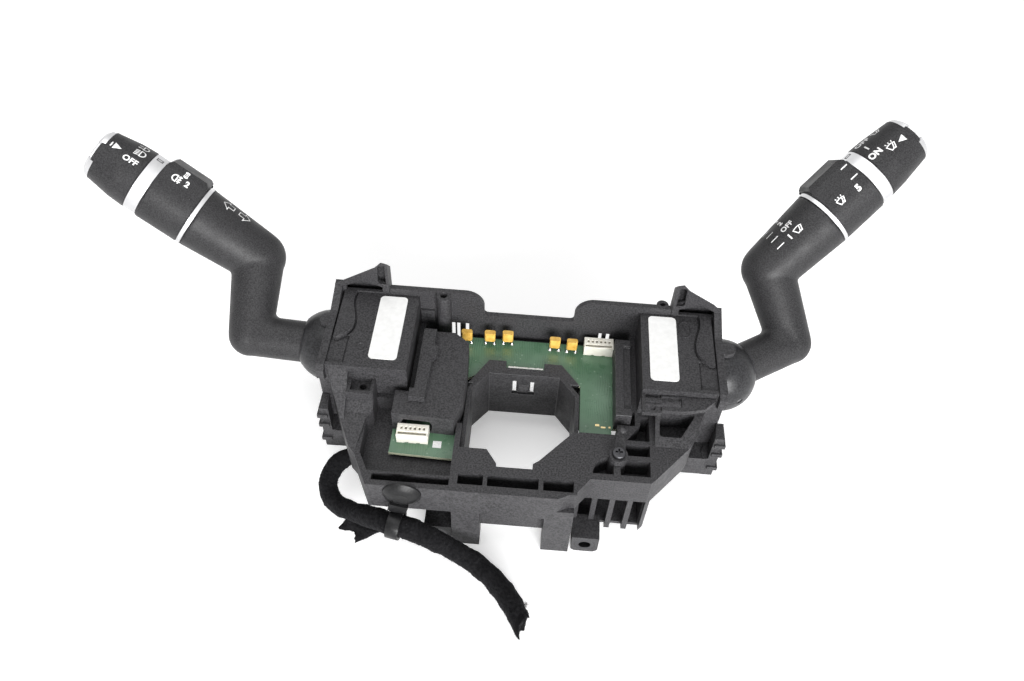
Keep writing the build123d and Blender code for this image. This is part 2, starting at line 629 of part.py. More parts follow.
def case(spec, side):
    """Module case: box, outer strip, ear and the opening for the pivot ball."""
    near, far = MODULE_NEAR, CASE_FAR
    out, pivot = spec["outer"], spec["pivot"]
    inner = out - STRIP_T
    body = block(SIDE_X, out, near, far, CASE_BOTTOM, CASE_RIM)
    floor = CASE_BOTTOM + THIN
    body -= block(SIDE_X + THIN, inner, near + THIN, far - THIN, floor, CASE_RIM + 1)
    strip = [
        (near - 3.0, 58.5), (near - 3.0, STRIP_TOP - 1.5), (near, STRIP_TOP),
        (37.0, STRIP_TOP), (TRAY_FAR, 70.0), (TRAY_FAR, 56.0), (near, 56.0),
    ]
    body += wall_x(strip, inner, out)
    body += ear(out)
    # lugs for the ball's trunnions, then the opening for the ball
    pole = BALL_R - 1.5
    for z0, z1 in ((pivot.Z - pole - 3.5, pivot.Z - pole + 0.5), (pivot.Z + pole, pivot.Z + pole + 4.0)):
        nose = Pos(pivot.X, pivot.Y, z0) * extrude(Circle(3.6), amount=z1 - z0)
        body += nose + block(out - 1.0, pivot.X, pivot.Y - 3.6, pivot.Y + 3.6, z0, z1)
    body -= Pos(*pivot) * Sphere(BALL_R + GAP)
    rise = Vector(0, 0, TRUNNION_REACH + 0.2)
    body -= rod(pivot - rise, pivot + rise, TRUNNION_R + FIT)
    if side == "right":
        body += ledge(out)
    # posts under the contact board
    for x in (58.0, 72.0):
        for y in (11.0, 45.0):
            body += rod((x, y, CASE_BOTTOM + 1), (x, y, floor + 1.0), 2.0)
    return body


def lid(spec, side):
    """Lid of the case with its S-shaped relief."""
    x0, x1 = SIDE_X, spec["outer"] - STRIP_T - 0.1
    y0, y1 = MODULE_NEAR, CASE_FAR - 0.1
    body = block(x0, x1, y0, y1, CASE_RIM, LID_TOP)
    body -= block(x0 + THIN, x1 - THIN, y0 + THIN, y1 - THIN, CASE_RIM - 1, LID_TOP - 1.8)
    # outer margin: a low strip, then a raised piece with a bulging end
    margin = x1 - 7.2
    body -= block(margin, x1 + 1, y0 + 2.0, 23.0, LID_TOP - 0.9, LID_TOP + 1)
    body -= block(margin - GROOVE, margin, y0 + 2.0, 23.0, LID_TOP - 1.4, LID_TOP + 1)
    for grow, low, high in ((GROOVE, -1.3, 2.0), (0.0, -1.5, 1.1)):
        left, tip_y = margin - grow, 21.0 - grow
        bulge = Spline(
            (left + 0.6, y1), (left + 0.4, 40.5), (left - 1.6, 32.0), (x1 - 2.2 - grow, tip_y)
        )
        right = x1 - GROOVE + grow
        edge = Polyline((x1 - 2.2 - grow, tip_y), (right, tip_y), (right, y1), (left + 0.6, y1))
        piece = Pos(0, 0, LID_TOP + low) * extrude(make_face(bulge + edge), amount=high - low)
        body = body + piece if grow == 0 else body - piece
    body -= Pos(*spec["pivot"]) * Sphere(BALL_R + GAP)
    nose = extrude(Circle(4.0), amount=BALL_R - 11.0)
    body -= Pos(spec["pivot"].X, spec["pivot"].Y, CASE_RIM - 1) * nose
    if side == "right":
        body += Pos(72.4, 41.5, LID_TOP - 0.2) * oval_ring(3.0, 5.0)
    else:
        body += Pos(74.0, 16.9, LID_TOP - 0.2) * oval_ring(2.2, 2.6)
    return body


def oval_ring(across, length):
    """Low moulded ring on a lid."""
    return extrude(Ellipse(across, length) - Ellipse(across - 0.5, length - 0.5), amount=0.6)


def label(side):
    """Blank white label on the lid."""
    x0 = 57.2 if side == "left" else 55.6
    corners = [(x0, 10.8), (x0 + 12.8, 10.8), (x0 + 12.8, 48.4), (x0, 48.4)]
    return soft_prism(corners, 2.0, LID_TOP, LID_TOP + 0.25)


def contact_board():
    body = block(55.5, 75.0, 8.5, 47.0, CASE_BOTTOM + THIN + 1.0, CASE_BOTTOM + THIN + 2.6)
    return body


def plug_block():
    """Stepped socket housing under the module, with a ribbed tower outside it."""
    body = block(70.0, 88.0, MODULE_NEAR - 9.0, 24.0, 14.0, CASE_BOTTOM)
    body -= block(72.0, 86.0, MODULE_NEAR - 7.0, 22.0, 13.0, CASE_BOTTOM - THIN)
    tower_plan = [(86.5, 5.2), (91.8, 5.2), (91.8, -3.6), (86.2, -3.6), (84.4, 0.0)]
    body += prism(tower_plan, 14.0, 27.5)
    slim_plan = [(88.6, 5.2), (91.8, 5.2), (91.8, -3.6), (87.4, -3.6)]
    body += prism(slim_plan, 27.0, 44.0)
    for z in (20.0, 31.0, 38.0):
        body += prism([(88.6, 5.2), (92.8, 5.2), (92.8, -4.8), (88.0, -4.8)], z, z + 2.4)
    return body


def cut_ball(pivot, half, azimuth):
    """One half of the pivot ball: +1 the upper half, -1 the lower."""
    body = Sphere(BALL_R) - Sphere(ROOT_R + GAP)
    body &= Pos(0, 0, half * 15.0) * Box(50, 50, 30)
    rim = rod((0, 0, half * (ROOT_R + 0.6)), (0, 0, half * TRUNNION_REACH), TRUNNION_R)
    body += rim
    out = radial(azimuth)
    across = Vector(-out.Y, out.X, 0)
    swing = 2.3
    frame = Plane(origin=(0, 0, 0), x_dir=across, z_dir=out)
    mouth = SlotCenterToCenter(2 * swing, 2 * (ARM_R + 0.4), rotation=90)
    body -= frame * extrude(mouth, amount=30)
    back = Plane(origin=(0, 0, 0), x_dir=across, z_dir=-out)
    body -= back * extrude(Rectangle(2 * TAIL_HALF + 1.0, 2 * TAIL_HALF + 5.0), amount=30)
    body -= rod(across * -20, across * 20, CROSS_PIN_R)
    return Pos(*pivot) * body


def cross_pin(pivot, azimuth):
    across = Vector(-radial(azimuth).Y, radial(azimuth).X, 0)
    reach = BALL_R - 0.6
    return rod(pivot - across * reach, pivot + across * reach, CROSS_PIN_R)


def cone_between(start, end, r0, r1):
    """A round taper between two points."""
    run = end - start
    base = Align.CENTER, Align.CENTER, Align.MIN
    return Plane(origin=start, z_dir=run) * Cone(r0, r1, run.length, align=base)


def lever_arm(spec, azimuth):
    """Root ball, tail, the two bends of the arm and the base of the barrel."""
    e1, e2, tip = spec["elbow_1"], spec["elbow_2"], spec["tip"]
    out = radial(azimuth)
    across = Vector(-out.Y, out.X, 0)
    axis = (tip - e2).normalized()
    barrel = Plane(origin=e2, z_dir=axis)
    ring = spec["ring"]
    body = Sphere(ROOT_R)
    root = e1.normalized() * 6.0
    bends = [ARM_ROOT_BEND, ARM_NECK_BEND]
    path = FilletPolyline(root, e1, e2, e2 + axis * 16.0, radius=bends)
    section = Plane(origin=path @ 0, z_dir=path % 0) * Circle(ARM_R - 0.15)
    body += sweep(section, path=path)
    body += rod(root, e1, ARM_R)
    body += Pos(*e1) * Sphere(ARM_R + 0.2)
    body += cone_between(e1, e2, ARM_R + 0.3, KNEE_R - 0.5)
    body += Pos(*e2) * Sphere(KNEE_R)
    base = [(0, 0), (KNEE_R + 0.1, 0), (BARREL_R, ring), (0, ring)]
    body += turned(barrel, base)
    body += along(barrel, ring - 1.0, ring + THIN_RING_T, BARREL_R - 2.6)
    body -= along(barrel, ring - 14.0, ring + THIN_RING_T + 1, SPINDLE_R)
    # tail with its plunger pocket
    frame = Plane(origin=(0, 0, 0), x_dir=across, z_dir=-out)
    lower = Align.CENTER, Align.CENTER, Align.MIN
    tail = Box(2 * TAIL_HALF, 2 * TAIL_HALF, TAIL_END - 8.0, align=lower)
    body += frame * Pos(0, 0, 8.0) * tail
    body -= along(frame, TAIL_END - 10.0, TAIL_END + 1.0, PLUNGER_R + FIT)
    body -= rod(across * -20, across * 20, CROSS_PIN_R + FIT)
    return Pos(*spec["pivot"]) * body


def plunger(pivot, azimuth):
    """Detent plunger in the lever's tail, with a round nose."""
    frame = Plane(origin=pivot, z_dir=-radial(azimuth))
    body = along(frame, TAIL_END - 4.0, PLUNGER_TIP - PLUNGER_R, PLUNGER_R)
    return body + frame * Pos(0, 0, PLUNGER_TIP - PLUNGER_R) * Sphere(PLUNGER_R)


def detent_track(pivot, limits, azimuth):
    """Hollow track that the plunger's nose runs over, with a notch per position."""
    y0 = pivot.Y - TRACK_R * sin(radians(azimuth + limits[1] + 9.0))
    y1 = pivot.Y - TRACK_R * sin(radians(azimuth + limits[0] - 9.0))
    body = block(SIDE_X + THIN, 66.0, max(y0, 8.2), min(y1, 47.3), 36.0, 56.0)
    body -= Pos(*pivot) * Sphere(TRACK_R)
    count = 5 if limits[0] < -20 else 3
    rise = Vector(0, 0, 15)
    for i in range(count):
        angle = azimuth + limits[0] + (limits[1] - limits[0]) * i / (count - 1)
        spot = pivot - radial(angle) * (TRACK_R + 0.6)
        body -= rod(spot - rise, spot + rise, 1.4)
    return body


def spindle(spec, barrel):
    """Fixed core of the barrel that carries the turning collar, band and cap."""
    ring, cap, end = spec["ring"], spec["cap"], spec["end"]
    core = along(barrel, ring - 14.0, cap + 10.0, SPINDLE_R)
    core -= along(barrel, cap - 2.0, cap + 11.0, BUTTON_STEM_R + FIT)
    return core


def thin_ring(spec, barrel):
    ring = spec["ring"]
    body = along(barrel, ring, ring + THIN_RING_T, BARREL_R + 0.25)
    return body - along(barrel, ring - 1, ring + THIN_RING_T + 1, BARREL_R - 2.6)


def turn_collar(spec, barrel):
    """Turning collar with a faceted finger rib on its upper side."""
    start = spec["ring"] + THIN_RING_T + 0.3
    end = spec["band"] - 0.3
    bore = SPINDLE_R + FIT
    r = BARREL_R
    profile = [
        (bore, start), (r - 0.3, start), (r, start + 0.6), (r, end - 0.6),
        (r - 0.3, end), (bore, end),
    ]
    body = turned(barrel, profile)
    rib = Box(3.4, 17.0, end - start - 1.2, align=(Align.MIN, Align.CENTER, Align.MIN))
    rib = chamfer(rib.edges().filter_by(Axis.Z).sort_by(Axis.X)[-2:], 2.4)
    rib = chamfer(rib.edges().filter_by(Axis.Y).sort_by(Axis.X)[-2:], 1.4)
    return body + barrel * Rot(0, 0, spec["rib"]) * Pos(r - 1.2, 0, start + 0.6) * rib


def wide_band(spec, barrel):
    start, end = spec["band"], spec["cap"] - 0.3
    body = along(barrel, start, end, CAP_R - 0.1)
    return body - along(barrel, start - 1, end + 1, SPINDLE_R)


def wedge(barrel, angle, arc, z0, z1):
    """A sector about the barrel, for cutting tongues."""
    half = radians(arc / 2)
    far = 30.0
    points = [(0, 0), (far, -far * tan(half)), (far, far * tan(half))]
    face = make_face(Polyline(*points, close=True))
    return barrel * Rot(0, 0, angle) * Pos(0, 0, z0) * extrude(face, amount=z1 - z0)


def tongues(spec, barrel, arc, z0, z1):
    """The three sectors that the cap's tongues fill."""
    total = wedge(barrel, spec["facing"], arc, z0, z1)
    for k in (1, 2):
        total += wedge(barrel, spec["facing"] + 120.0 * k, arc, z0, z1)
    return total


def end_cap(spec, barrel):
    """Turning end cap: tapered, with three tongues that reach over the button."""
    start, end = spec["cap"], spec["end"]
    bore = SPINDLE_R + FIT
    pocket = BUTTON_R + 0.1
    profile = [
        (bore, start), (CAP_R - 0.4, start), (CAP_R, start + 0.5), (CAP_R - 0.5, start + 8.0),
        (CAP_TIP_R + 0.5, end - TONGUE), (CAP_TIP_R, end - 0.8), (CAP_TIP_R - 1.0, end),
        (pocket, end), (pocket, start + 10.5), (bore, start + 10.5),
    ]
    body = turned(barrel, profile)
    tip = along(barrel, end - TONGUE, end + 1.0, 20.0)
    return body - (tip - tongues(spec, barrel, TONGUE_ARC, end - TONGUE - 1, end + 2))


def end_button(spec, barrel):
    """Push button in the cap: its rim shows between the cap's tongues."""
    start = spec["cap"] + 12.5
    end = spec["end"]
    lip = end - TONGUE + BUTTON_TRAVEL + GAP
    rim = [
        (BUTTON_R - 1.0, lip), (CAP_TIP_R + 0.1, lip), (CAP_TIP_R - 0.4, end + 0.2),
        (CAP_TIP_R - 2.2, end + 1.5), (BUTTON_R - 1.0, end + 1.5),
    ]
    body = turned(barrel, rim)
    body -= tongues(spec, barrel, TONGUE_ARC + 4.0, lip - 1, end + 3)
    head = [
        (0, start + 2.0), (BUTTON_R, start + 2.0), (BUTTON_R, end + 0.9),
        (BUTTON_R - 1.0, end + 1.5), (4.0, end + 0.7), (0, end + 0.6),
    ]
    body += turned(barrel, head)
    return body + along(barrel, spec["cap"] + 1.0, start + 3.0, BUTTON_STEM_R)


def lever_module(side):
    """All the pieces of one lever module."""
    spec = LEVERS[side]
    pivot, e1, e2 = spec["pivot"], spec["elbow_1"], spec["elbow_2"]
    azimuth = degrees(atan2(e1.Y, e1.X))
    axis = (spec["tip"] - e2).normalized()
    upward = Vector(0, 0, 1) - axis * axis.Z
    barrel = Plane(origin=pivot + e2, x_dir=upward, z_dir=axis)
    tail = Plane(origin=pivot, z_dir=-radial(azimuth))
    keep(side + "_case", case(spec, side), side)
    keep(side + "_lid", lid(spec, side), side)
    keep(side + "_label", label(side), side)
    keep(side + "_contact_board", contact_board(), side)
    keep(side + "_plug_socket", plug_block(), side)
    keep(side + "_ball_upper", cut_ball(pivot, 1, azimuth), side)
    keep(side + "_ball_lower", cut_ball(pivot, -1, azimuth), side)
    keep(side + "_cross_pin", cross_pin(pivot, azimuth), side)
    keep(side + "_lever_arm", lever_arm(spec, azimuth), side)
    keep(side + "_detent_plunger", plunger(pivot, azimuth), side)
    keep(side + "_detent_track", detent_track(pivot, spec["sweep"], azimuth), side)
    pocket = TAIL_END - 10.0
    spring = coil(tail, pocket + 0.4, 6.0 - PLUNGER_TRAVEL - 0.8, 1.3, 0.3, 4)
    keep(side + "_detent_spring", spring, side)
    keep(side + "_spindle", spindle(spec, barrel), side)
    keep(side + "_thin_ring", thin_ring(spec, barrel), side)
    keep(side + "_turn_collar", turn_collar(spec, barrel), side)
    keep(side + "_wide_band", wide_band(spec, barrel), side)
    keep(side + "_end_cap", end_cap(spec, barrel), side)
    keep(side + "_end_button", end_button(spec, barrel), side)
    button_spring = coil(barrel, spec["cap"] + 10.95, 1.7, 4.9, 0.4, 1.5)
    keep(side + "_button_spring", button_spring, side)


# ---------------------------------------------------------------- assembly
def build():
    keep("main_housing", main_housing())
    keep("column_sleeve", column_sleeve())
    keep("circuit_board", circuit_board())
    keep("board_connector_left", pin_header(-47.3, -13.8))
    keep("board_connector_right", pin_header(34.5, 44.0))
    keep("capacitors", capacitors())
    keep("inner_cover", inner_cover())
    keep("inner_bar", inner_bar())
    keep("fixing_bushes", bushes())
    keep("screws", screw(BOSS_X, BOSS_Y, 50.0))
    keep("cable_clip", cable_clip())
    keep("loom", loom())
    keep("loom_plug", loom_plug())
    for side in ("left", "right"):
        lever_module(side)
    for name, shape in parts.items():
        export_step(shape, f"parts/{name}.step")


build()
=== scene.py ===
import bmesh
import bpy
import json
import random
from math import acos, atan2, cos, degrees, pi, radians, sin
from mathutils import Matrix, Vector, noise
from mathutils.bvhtree import BVHTree


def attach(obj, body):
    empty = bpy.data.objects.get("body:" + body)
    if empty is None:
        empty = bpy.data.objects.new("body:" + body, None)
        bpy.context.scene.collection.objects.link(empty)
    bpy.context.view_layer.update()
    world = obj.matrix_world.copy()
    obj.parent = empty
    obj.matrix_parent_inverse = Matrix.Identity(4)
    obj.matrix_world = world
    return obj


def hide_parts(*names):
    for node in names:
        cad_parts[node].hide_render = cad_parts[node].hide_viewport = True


# Looks of the combination stalk switch. Sizes below are millimetres, turned into metres
# by MM; every piece lies in the CAD's own frame.

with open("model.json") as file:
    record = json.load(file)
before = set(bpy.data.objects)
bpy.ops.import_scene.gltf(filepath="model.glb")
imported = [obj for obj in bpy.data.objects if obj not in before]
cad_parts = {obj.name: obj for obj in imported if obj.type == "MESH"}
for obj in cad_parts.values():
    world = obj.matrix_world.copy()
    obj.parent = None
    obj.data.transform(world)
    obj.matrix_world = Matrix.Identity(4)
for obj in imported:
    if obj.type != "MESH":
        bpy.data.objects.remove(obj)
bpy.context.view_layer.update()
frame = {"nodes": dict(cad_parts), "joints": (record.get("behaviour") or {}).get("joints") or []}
MM = 0.001
nodes = frame["nodes"]
rng = random.Random(4)

# ---- camera and stage
CAMERA_AT = Vector((0.7, -224.7, 368.0)) * MM
CAMERA_RIGHT = Vector((0.99693, 0.07056, 0.03382))
CAMERA_UP = Vector((-0.07587, 0.76567, 0.63874))
LENS_MM = 30.516
LAMPS = [  # name, place in metres, side of its square, watts
    ("overhead_softbox", (-0.3, 0.1, 1.55), 1.4, 11.0),
    ("front_softbox", (0.5, -1.7, 0.42), 1.3, 86.0),
]
LAMPS_AIM = (0.0, 0.0, 0.03)
AMBIENT = 0.34  # light from all round
FLOOR_GLOW = 0.37  # lifts the lit floor to plain white for the camera
FLOOR_NEAR = 0.6  # metres from the middle where that starts to grow
FLOOR_FAR = 1.6  # and where the floor is as white as the world
FLOOR_HALF = 3000.0
FLOOR_CUTS = 8
FLOOR_DROP = 0.02


def link_object(name, data):
    thing = bpy.data.objects.new(name, data)
    bpy.context.collection.objects.link(thing)
    return thing


def make_camera():
    data = bpy.data.cameras.new("camera")
    data.sensor_width = 36.0
    data.lens = LENS_MM
    data.clip_start = 0.01
    data.clip_end = 20.0
    camera = link_object("camera", data)
    back = CAMERA_RIGHT.cross(CAMERA_UP)
    turn = Matrix((CAMERA_RIGHT, CAMERA_UP, back)).transposed().to_4x4()
    camera.matrix_world = Matrix.Translation(CAMERA_AT) @ turn
    bpy.context.scene.camera = camera


def make_lights():
    """Square softboxes that face the object."""
    for name, at, size, power in LAMPS:
        data = bpy.data.lights.new(name, "AREA")
        data.shape = "SQUARE"
        data.size = size
        data.energy = power
        lamp = link_object(name, data)
        lamp.location = at
        lamp.rotation_mode = "QUATERNION"
        facing = Vector(LAMPS_AIM) - Vector(at)
        lamp.rotation_quaternion = facing.to_track_quat("-Z", "Y")


WHITE = (1.0, 1.0, 1.0, 1.0)


def feed(tree, node, inputs):
    """Give a shader node's inputs, by name or number, a value or a node's output."""
    for key, source in inputs.items():
        if isinstance(source, bpy.types.NodeSocket):
            tree.links.new(source, node.inputs[key])
        else:
            node.inputs[key].default_value = source


def add_node(tree, kind, inputs=None, **settings):
    node = tree.nodes.new("ShaderNode" + kind)
    for key, value in settings.items():
        setattr(node, key, value)
    feed(tree, node, inputs or {})
    return node


def clear_rays(tree):
    """1 for camera, glossy and transmission rays, 0 for the light on the object."""
    path = add_node(tree, "LightPath")
    clear = path.outputs["Is Camera Ray"]
    for ray in ("Is Glossy Ray", "Is Transmission Ray"):
        either = {0: clear, 1: path.outputs[ray]}
        clear = add_node(tree, "Math", either, operation="MAXIMUM").outputs[0]
    return clear


def make_world():
    """Soft white surroundings; the camera and clear reflections see plain white."""
    world = bpy.data.worlds.new("studio")
    world.use_nodes = True
    bpy.context.scene.world = world
    tree = world.node_tree
    tree.nodes.clear()
    mixed = {"Fac": clear_rays(tree)}
    for key, strength in ((1, AMBIENT), (2, 1.0)):
        shade = add_node(tree, "Background", {"Color": WHITE, "Strength": strength})
        mixed[key] = shade.outputs[0]
    mix = add_node(tree, "MixShader", mixed)
    add_node(tree, "OutputWorld", {"Surface": mix.outputs[0]})
    bpy.context.scene.view_settings.view_transform = "Standard"


# ---- materials
PLASTIC_SHINE = 0.24  # grained black mouldings reflect little
DUST = (0.42, 0.41, 0.40)
LEAD_TOP = 44.5  # level where the capacitors' bare leads end


class Finish:
    """A Principled material whose nodes read the piece's own object coordinates."""

    def __init__(self, name, roughness, metallic=0.0, specular=0.5):
        self.material = bpy.data.materials.new(name)
        self.material.use_nodes = True
        self.tree = self.material.node_tree
        self.shader = self.tree.nodes["Principled BSDF"]
        self.surface("Roughness", roughness)
        self.surface("Metallic", metallic)
        self.surface("Specular IOR Level", specular)
        self.coordinates = self.node("TexCoord").outputs["Object"]
        self.relief = {}

    def node(self, kind, inputs=None, **settings):
        return add_node(self.tree, kind, inputs, **settings)

    def surface(self, key, source):
        """Feed one input of the Principled shader."""
        feed(self.tree, self.shader, {key: source})

    def noise(self, per_mm, detail=2.0, stretch=None):
        """Noise with about that many features per millimetre."""
        place = self.coordinates
        if stretch:
            place = self.node("Mapping", {"Vector": place, "Scale": stretch}).outputs[0]
        inputs = {"Vector": place, "Scale": per_mm / MM, "Detail": detail}
        return self.node("TexNoise", inputs).outputs["Fac"]

    def cells(self, per_mm):
        """Distance to the nearest of scattered points, in shares of their spacing."""
        inputs = {"Vector": self.coordinates, "Scale": per_mm / MM}
        return self.node("TexVoronoi", inputs).outputs["Distance"]

    def lines(self, period_mm, wander):
        """Lines that run side by side and wander together."""
        inputs = {
            "Vector": self.coordinates, "Scale": pi / 10 / (period_mm * MM),
            "Distortion": wander, "Detail": 1.0, "Detail Scale": 0.35,
        }
        return self.node("TexWave", inputs).outputs["Fac"]

    def step(self, value, low, high, to_low=0.0, to_high=1.0):
        """Map a value's range, clamped."""
        inputs = {
            "Value": value, "From Min": low, "From Max": high,
            "To Min": to_low, "To Max": to_high,
        }
        return self.node("MapRange", inputs).outputs[0]

    def times(self, a, b):
        return self.node("Math", {0: a, 1: b}, operation="MULTIPLY").outputs[0]

    def blend(self, factor, colour_a, colour_b):
        """Mix two colours, each a tuple or another node's output."""
        a, b = ((*c, 1.0) if isinstance(c, tuple) else c for c in (colour_a, colour_b))
        inputs = {"Factor": factor, 6: a, 7: b}
        return self.node("Mix", inputs, data_type="RGBA").outputs[2]

    def colour(self, source):
        self.surface("Base Color", source)

    def roughness(self, source):
        self.surface("Roughness", source)

    def bump(self, value, height_mm, strength=1.0):
        """Add a relief of that height on top of those given before."""
        inputs = {"Height": value, "Distance": height_mm * MM, "Strength": strength}
        inputs.update(self.relief)
        self.relief = {"Normal": self.node("Bump", inputs).outputs[0]}
        feed(self.tree, self.shader, self.relief)

    def upward(self, vector):
        """The Z part of a vector."""
        return self.node("SeparateXYZ", {0: vector}).outputs["Z"]

    def facing_up(self):
        """1 on level faces and 0 on upright ones, from the surface's own normal."""
        normal = self.node("TexCoord").outputs["Normal"]
        return self.step(self.upward(normal), 0.4, 0.6)


def moulded_plastic(
    name, dark, light, roughness, grain_per_mm, grain_mm, dust=0.0, shine=PLASTIC_SHINE
):
    """Injection-moulded plastic: spark-eroded grain, faint flow marks, stray dust."""
    finish = Finish(name, roughness, specular=shine)
    cloud = finish.step(finish.noise(0.035, 3.0), 0.35, 0.65)
    base = finish.blend(cloud, dark, light)
    speckle = finish.step(finish.noise(grain_per_mm * 0.6, 2.0), 0.36, 0.62)
    pale = tuple(c * 2.3 for c in light)
    base = finish.blend(finish.step(speckle, 0.0, 1.0, 0.0, 0.85), base, pale)
    if dust:
        specks = finish.step(finish.cells(0.55), 0.0, 0.09, 1.0, 0.0)
        patches = finish.step(finish.noise(0.09, 2.0), 0.5, 0.62)
        fade = finish.step(finish.times(specks, patches), 0.0, 1.0, 0.0, dust)
        base = finish.blend(fade, base, DUST)
    finish.colour(base)
    rub = finish.noise(0.16, 4.0)
    finish.roughness(finish.step(rub, 0.3, 0.7, roughness - 0.07, roughness + 0.09))
    finish.bump(finish.noise(grain_per_mm, 3.0), grain_mm)
    finish.bump(finish.noise(0.05, 1.0), 0.05, 0.5)
    return finish.material


def mottled(
    name, roughness, patches, colours, grain, shine=None, specular=0.5, metallic=0.0
):
    """Soft patches between two close colours, over a fine grain.

    patches holds the noise's features per millimetre, its detail and the range of it
    that is stretched; shine, the roughness in each colour; grain, features per
    millimetre, detail and height in millimetres.
    """
    finish = Finish(name, roughness, metallic, specular)
    per_mm, detail, low, high = patches
    cloud = finish.step(finish.noise(per_mm, detail), low, high)
    finish.colour(finish.blend(cloud, *colours))
    if shine:
        finish.roughness(finish.step(cloud, 0.0, 1.0, *shine))
    per_mm, detail, height = grain
    finish.bump(finish.noise(per_mm, detail), height)
    return finish.material


def satin_metal(name, colour, roughness):
    """Satin plating with fine grain and smudges."""
    dull = tuple(c * 0.82 for c in colour)
    return mottled(
        name, roughness, (0.12, 4.0, 0.35, 0.7), (dull, colour), (4.0, 2.0, 0.004),
        (roughness + 0.1, roughness - 0.04), metallic=1.0,
    )


def solder_mask():
    """Green board: mask over copper tracks on its faces, pale laminate at its cut edge."""
    finish = Finish("solder_mask", 0.3)
    finish.surface("Coat Weight", 0.5)
    finish.surface("Coat Roughness", 0.22)
    cloud = finish.step(finish.noise(0.05, 3.0), 0.36, 0.64)
    mask = finish.blend(cloud, (0.050, 0.125, 0.064), (0.098, 0.190, 0.116))
    routed = finish.step(finish.noise(0.11, 2.0), 0.44, 0.54)
    tracks = finish.times(finish.step(finish.lines(1.1, 7.0), 0.62, 0.8), routed)
    faint = finish.step(tracks, 0.0, 1.0, 0.0, 0.4)
    mask = finish.blend(faint, mask, (0.030, 0.088, 0.044))
    vias = finish.step(finish.cells(0.30), 0.10, 0.14, 1.0, 0.0)
    mask = finish.blend(finish.step(vias, 0.0, 1.0, 0.0, 0.6), mask, (0.24, 0.34, 0.25))
    fibre = finish.noise(1.2, 3.0, stretch=(1.0, 1.0, 8.0))
    laminate = finish.blend(fibre, (0.50, 0.55, 0.36), (0.78, 0.80, 0.62))
    finish.colour(finish.blend(finish.facing_up(), laminate, mask))
    finish.roughness(finish.step(finish.noise(0.3, 3.0), 0.3, 0.7, 0.24, 0.42))
    finish.bump(tracks, 0.03)
    finish.bump(finish.noise(2.5, 2.0), 0.008)
    return finish.material


def dipped_capacitor():
    """Mustard epoxy dip on tinned leads."""
    finish = Finish("dipped_capacitor", 0.34)
    flow = finish.step(finish.noise(0.4, 3.0), 0.3, 0.7)
    epoxy = finish.blend(flow, (0.55, 0.31, 0.05), (0.72, 0.46, 0.11))
    level = finish.upward(finish.coordinates)
    lead = finish.step(level, LEAD_TOP * MM, (LEAD_TOP + 0.1) * MM, 1.0, 0.0)
    finish.colour(finish.blend(lead, epoxy, (0.62, 0.60, 0.56)))
    finish.surface("Metallic", lead)
    finish.roughness(finish.step(flow, 0.0, 1.0, 0.26, 0.42))
    finish.bump(finish.noise(0.9, 3.0), 0.06)
    return finish.material


def fleece_tape():
    """Black needled fleece: matted fibre with a soft sheen."""
    finish = Finish("fleece_tape", 0.95, specular=0.06)
    finish.surface("Sheen Weight", 0.10)
    finish.surface("Sheen Roughness", 0.5)
    finish.surface("Sheen Tint", (0.35, 0.35, 0.37, 1.0))
    mat = finish.step(finish.noise(0.8, 5.0), 0.3, 0.72)
    fibre = finish.noise(2.4, 4.0, stretch=(1.0, 0.35, 1.0))
    tone = finish.blend(mat, (0.0035, 0.0035, 0.0040), (0.0110, 0.0108, 0.0118))
    lint = finish.step(finish.cells(0.5), 0.0, 0.08, 0.35, 0.0)
    finish.colour(finish.blend(lint, tone, (0.12, 0.12, 0.12)))
    finish.roughness(finish.step(mat, 0.0, 1.0, 0.98, 0.86))
    finish.bump(fibre, 0.28)
    finish.bump(mat, 0.35)
    return finish.material


def floor_paint():
    """Pale matt paint that the camera and clear reflections see as white."""
    finish = Finish("floor_paint", 0.9, specular=0.1)
    cloud = finish.step(finish.noise(0.004, 3.0), 0.3, 0.7)
    finish.colour(finish.blend(cloud, (0.90, 0.90, 0.90), (0.93, 0.93, 0.93)))
    finish.bump(finish.noise(0.02, 2.0), 0.02)
    place = finish.node("NewGeometry").outputs["Position"]
    reach = finish.node("VectorMath", {0: place}, operation="LENGTH").outputs["Value"]
    spread = finish.step(reach, FLOOR_NEAR, FLOOR_FAR, FLOOR_GLOW, 1.0)
    finish.surface("Emission Color", WHITE)
    finish.surface("Emission Strength", finish.times(clear_rays(finish.tree), spread))
    return finish.material


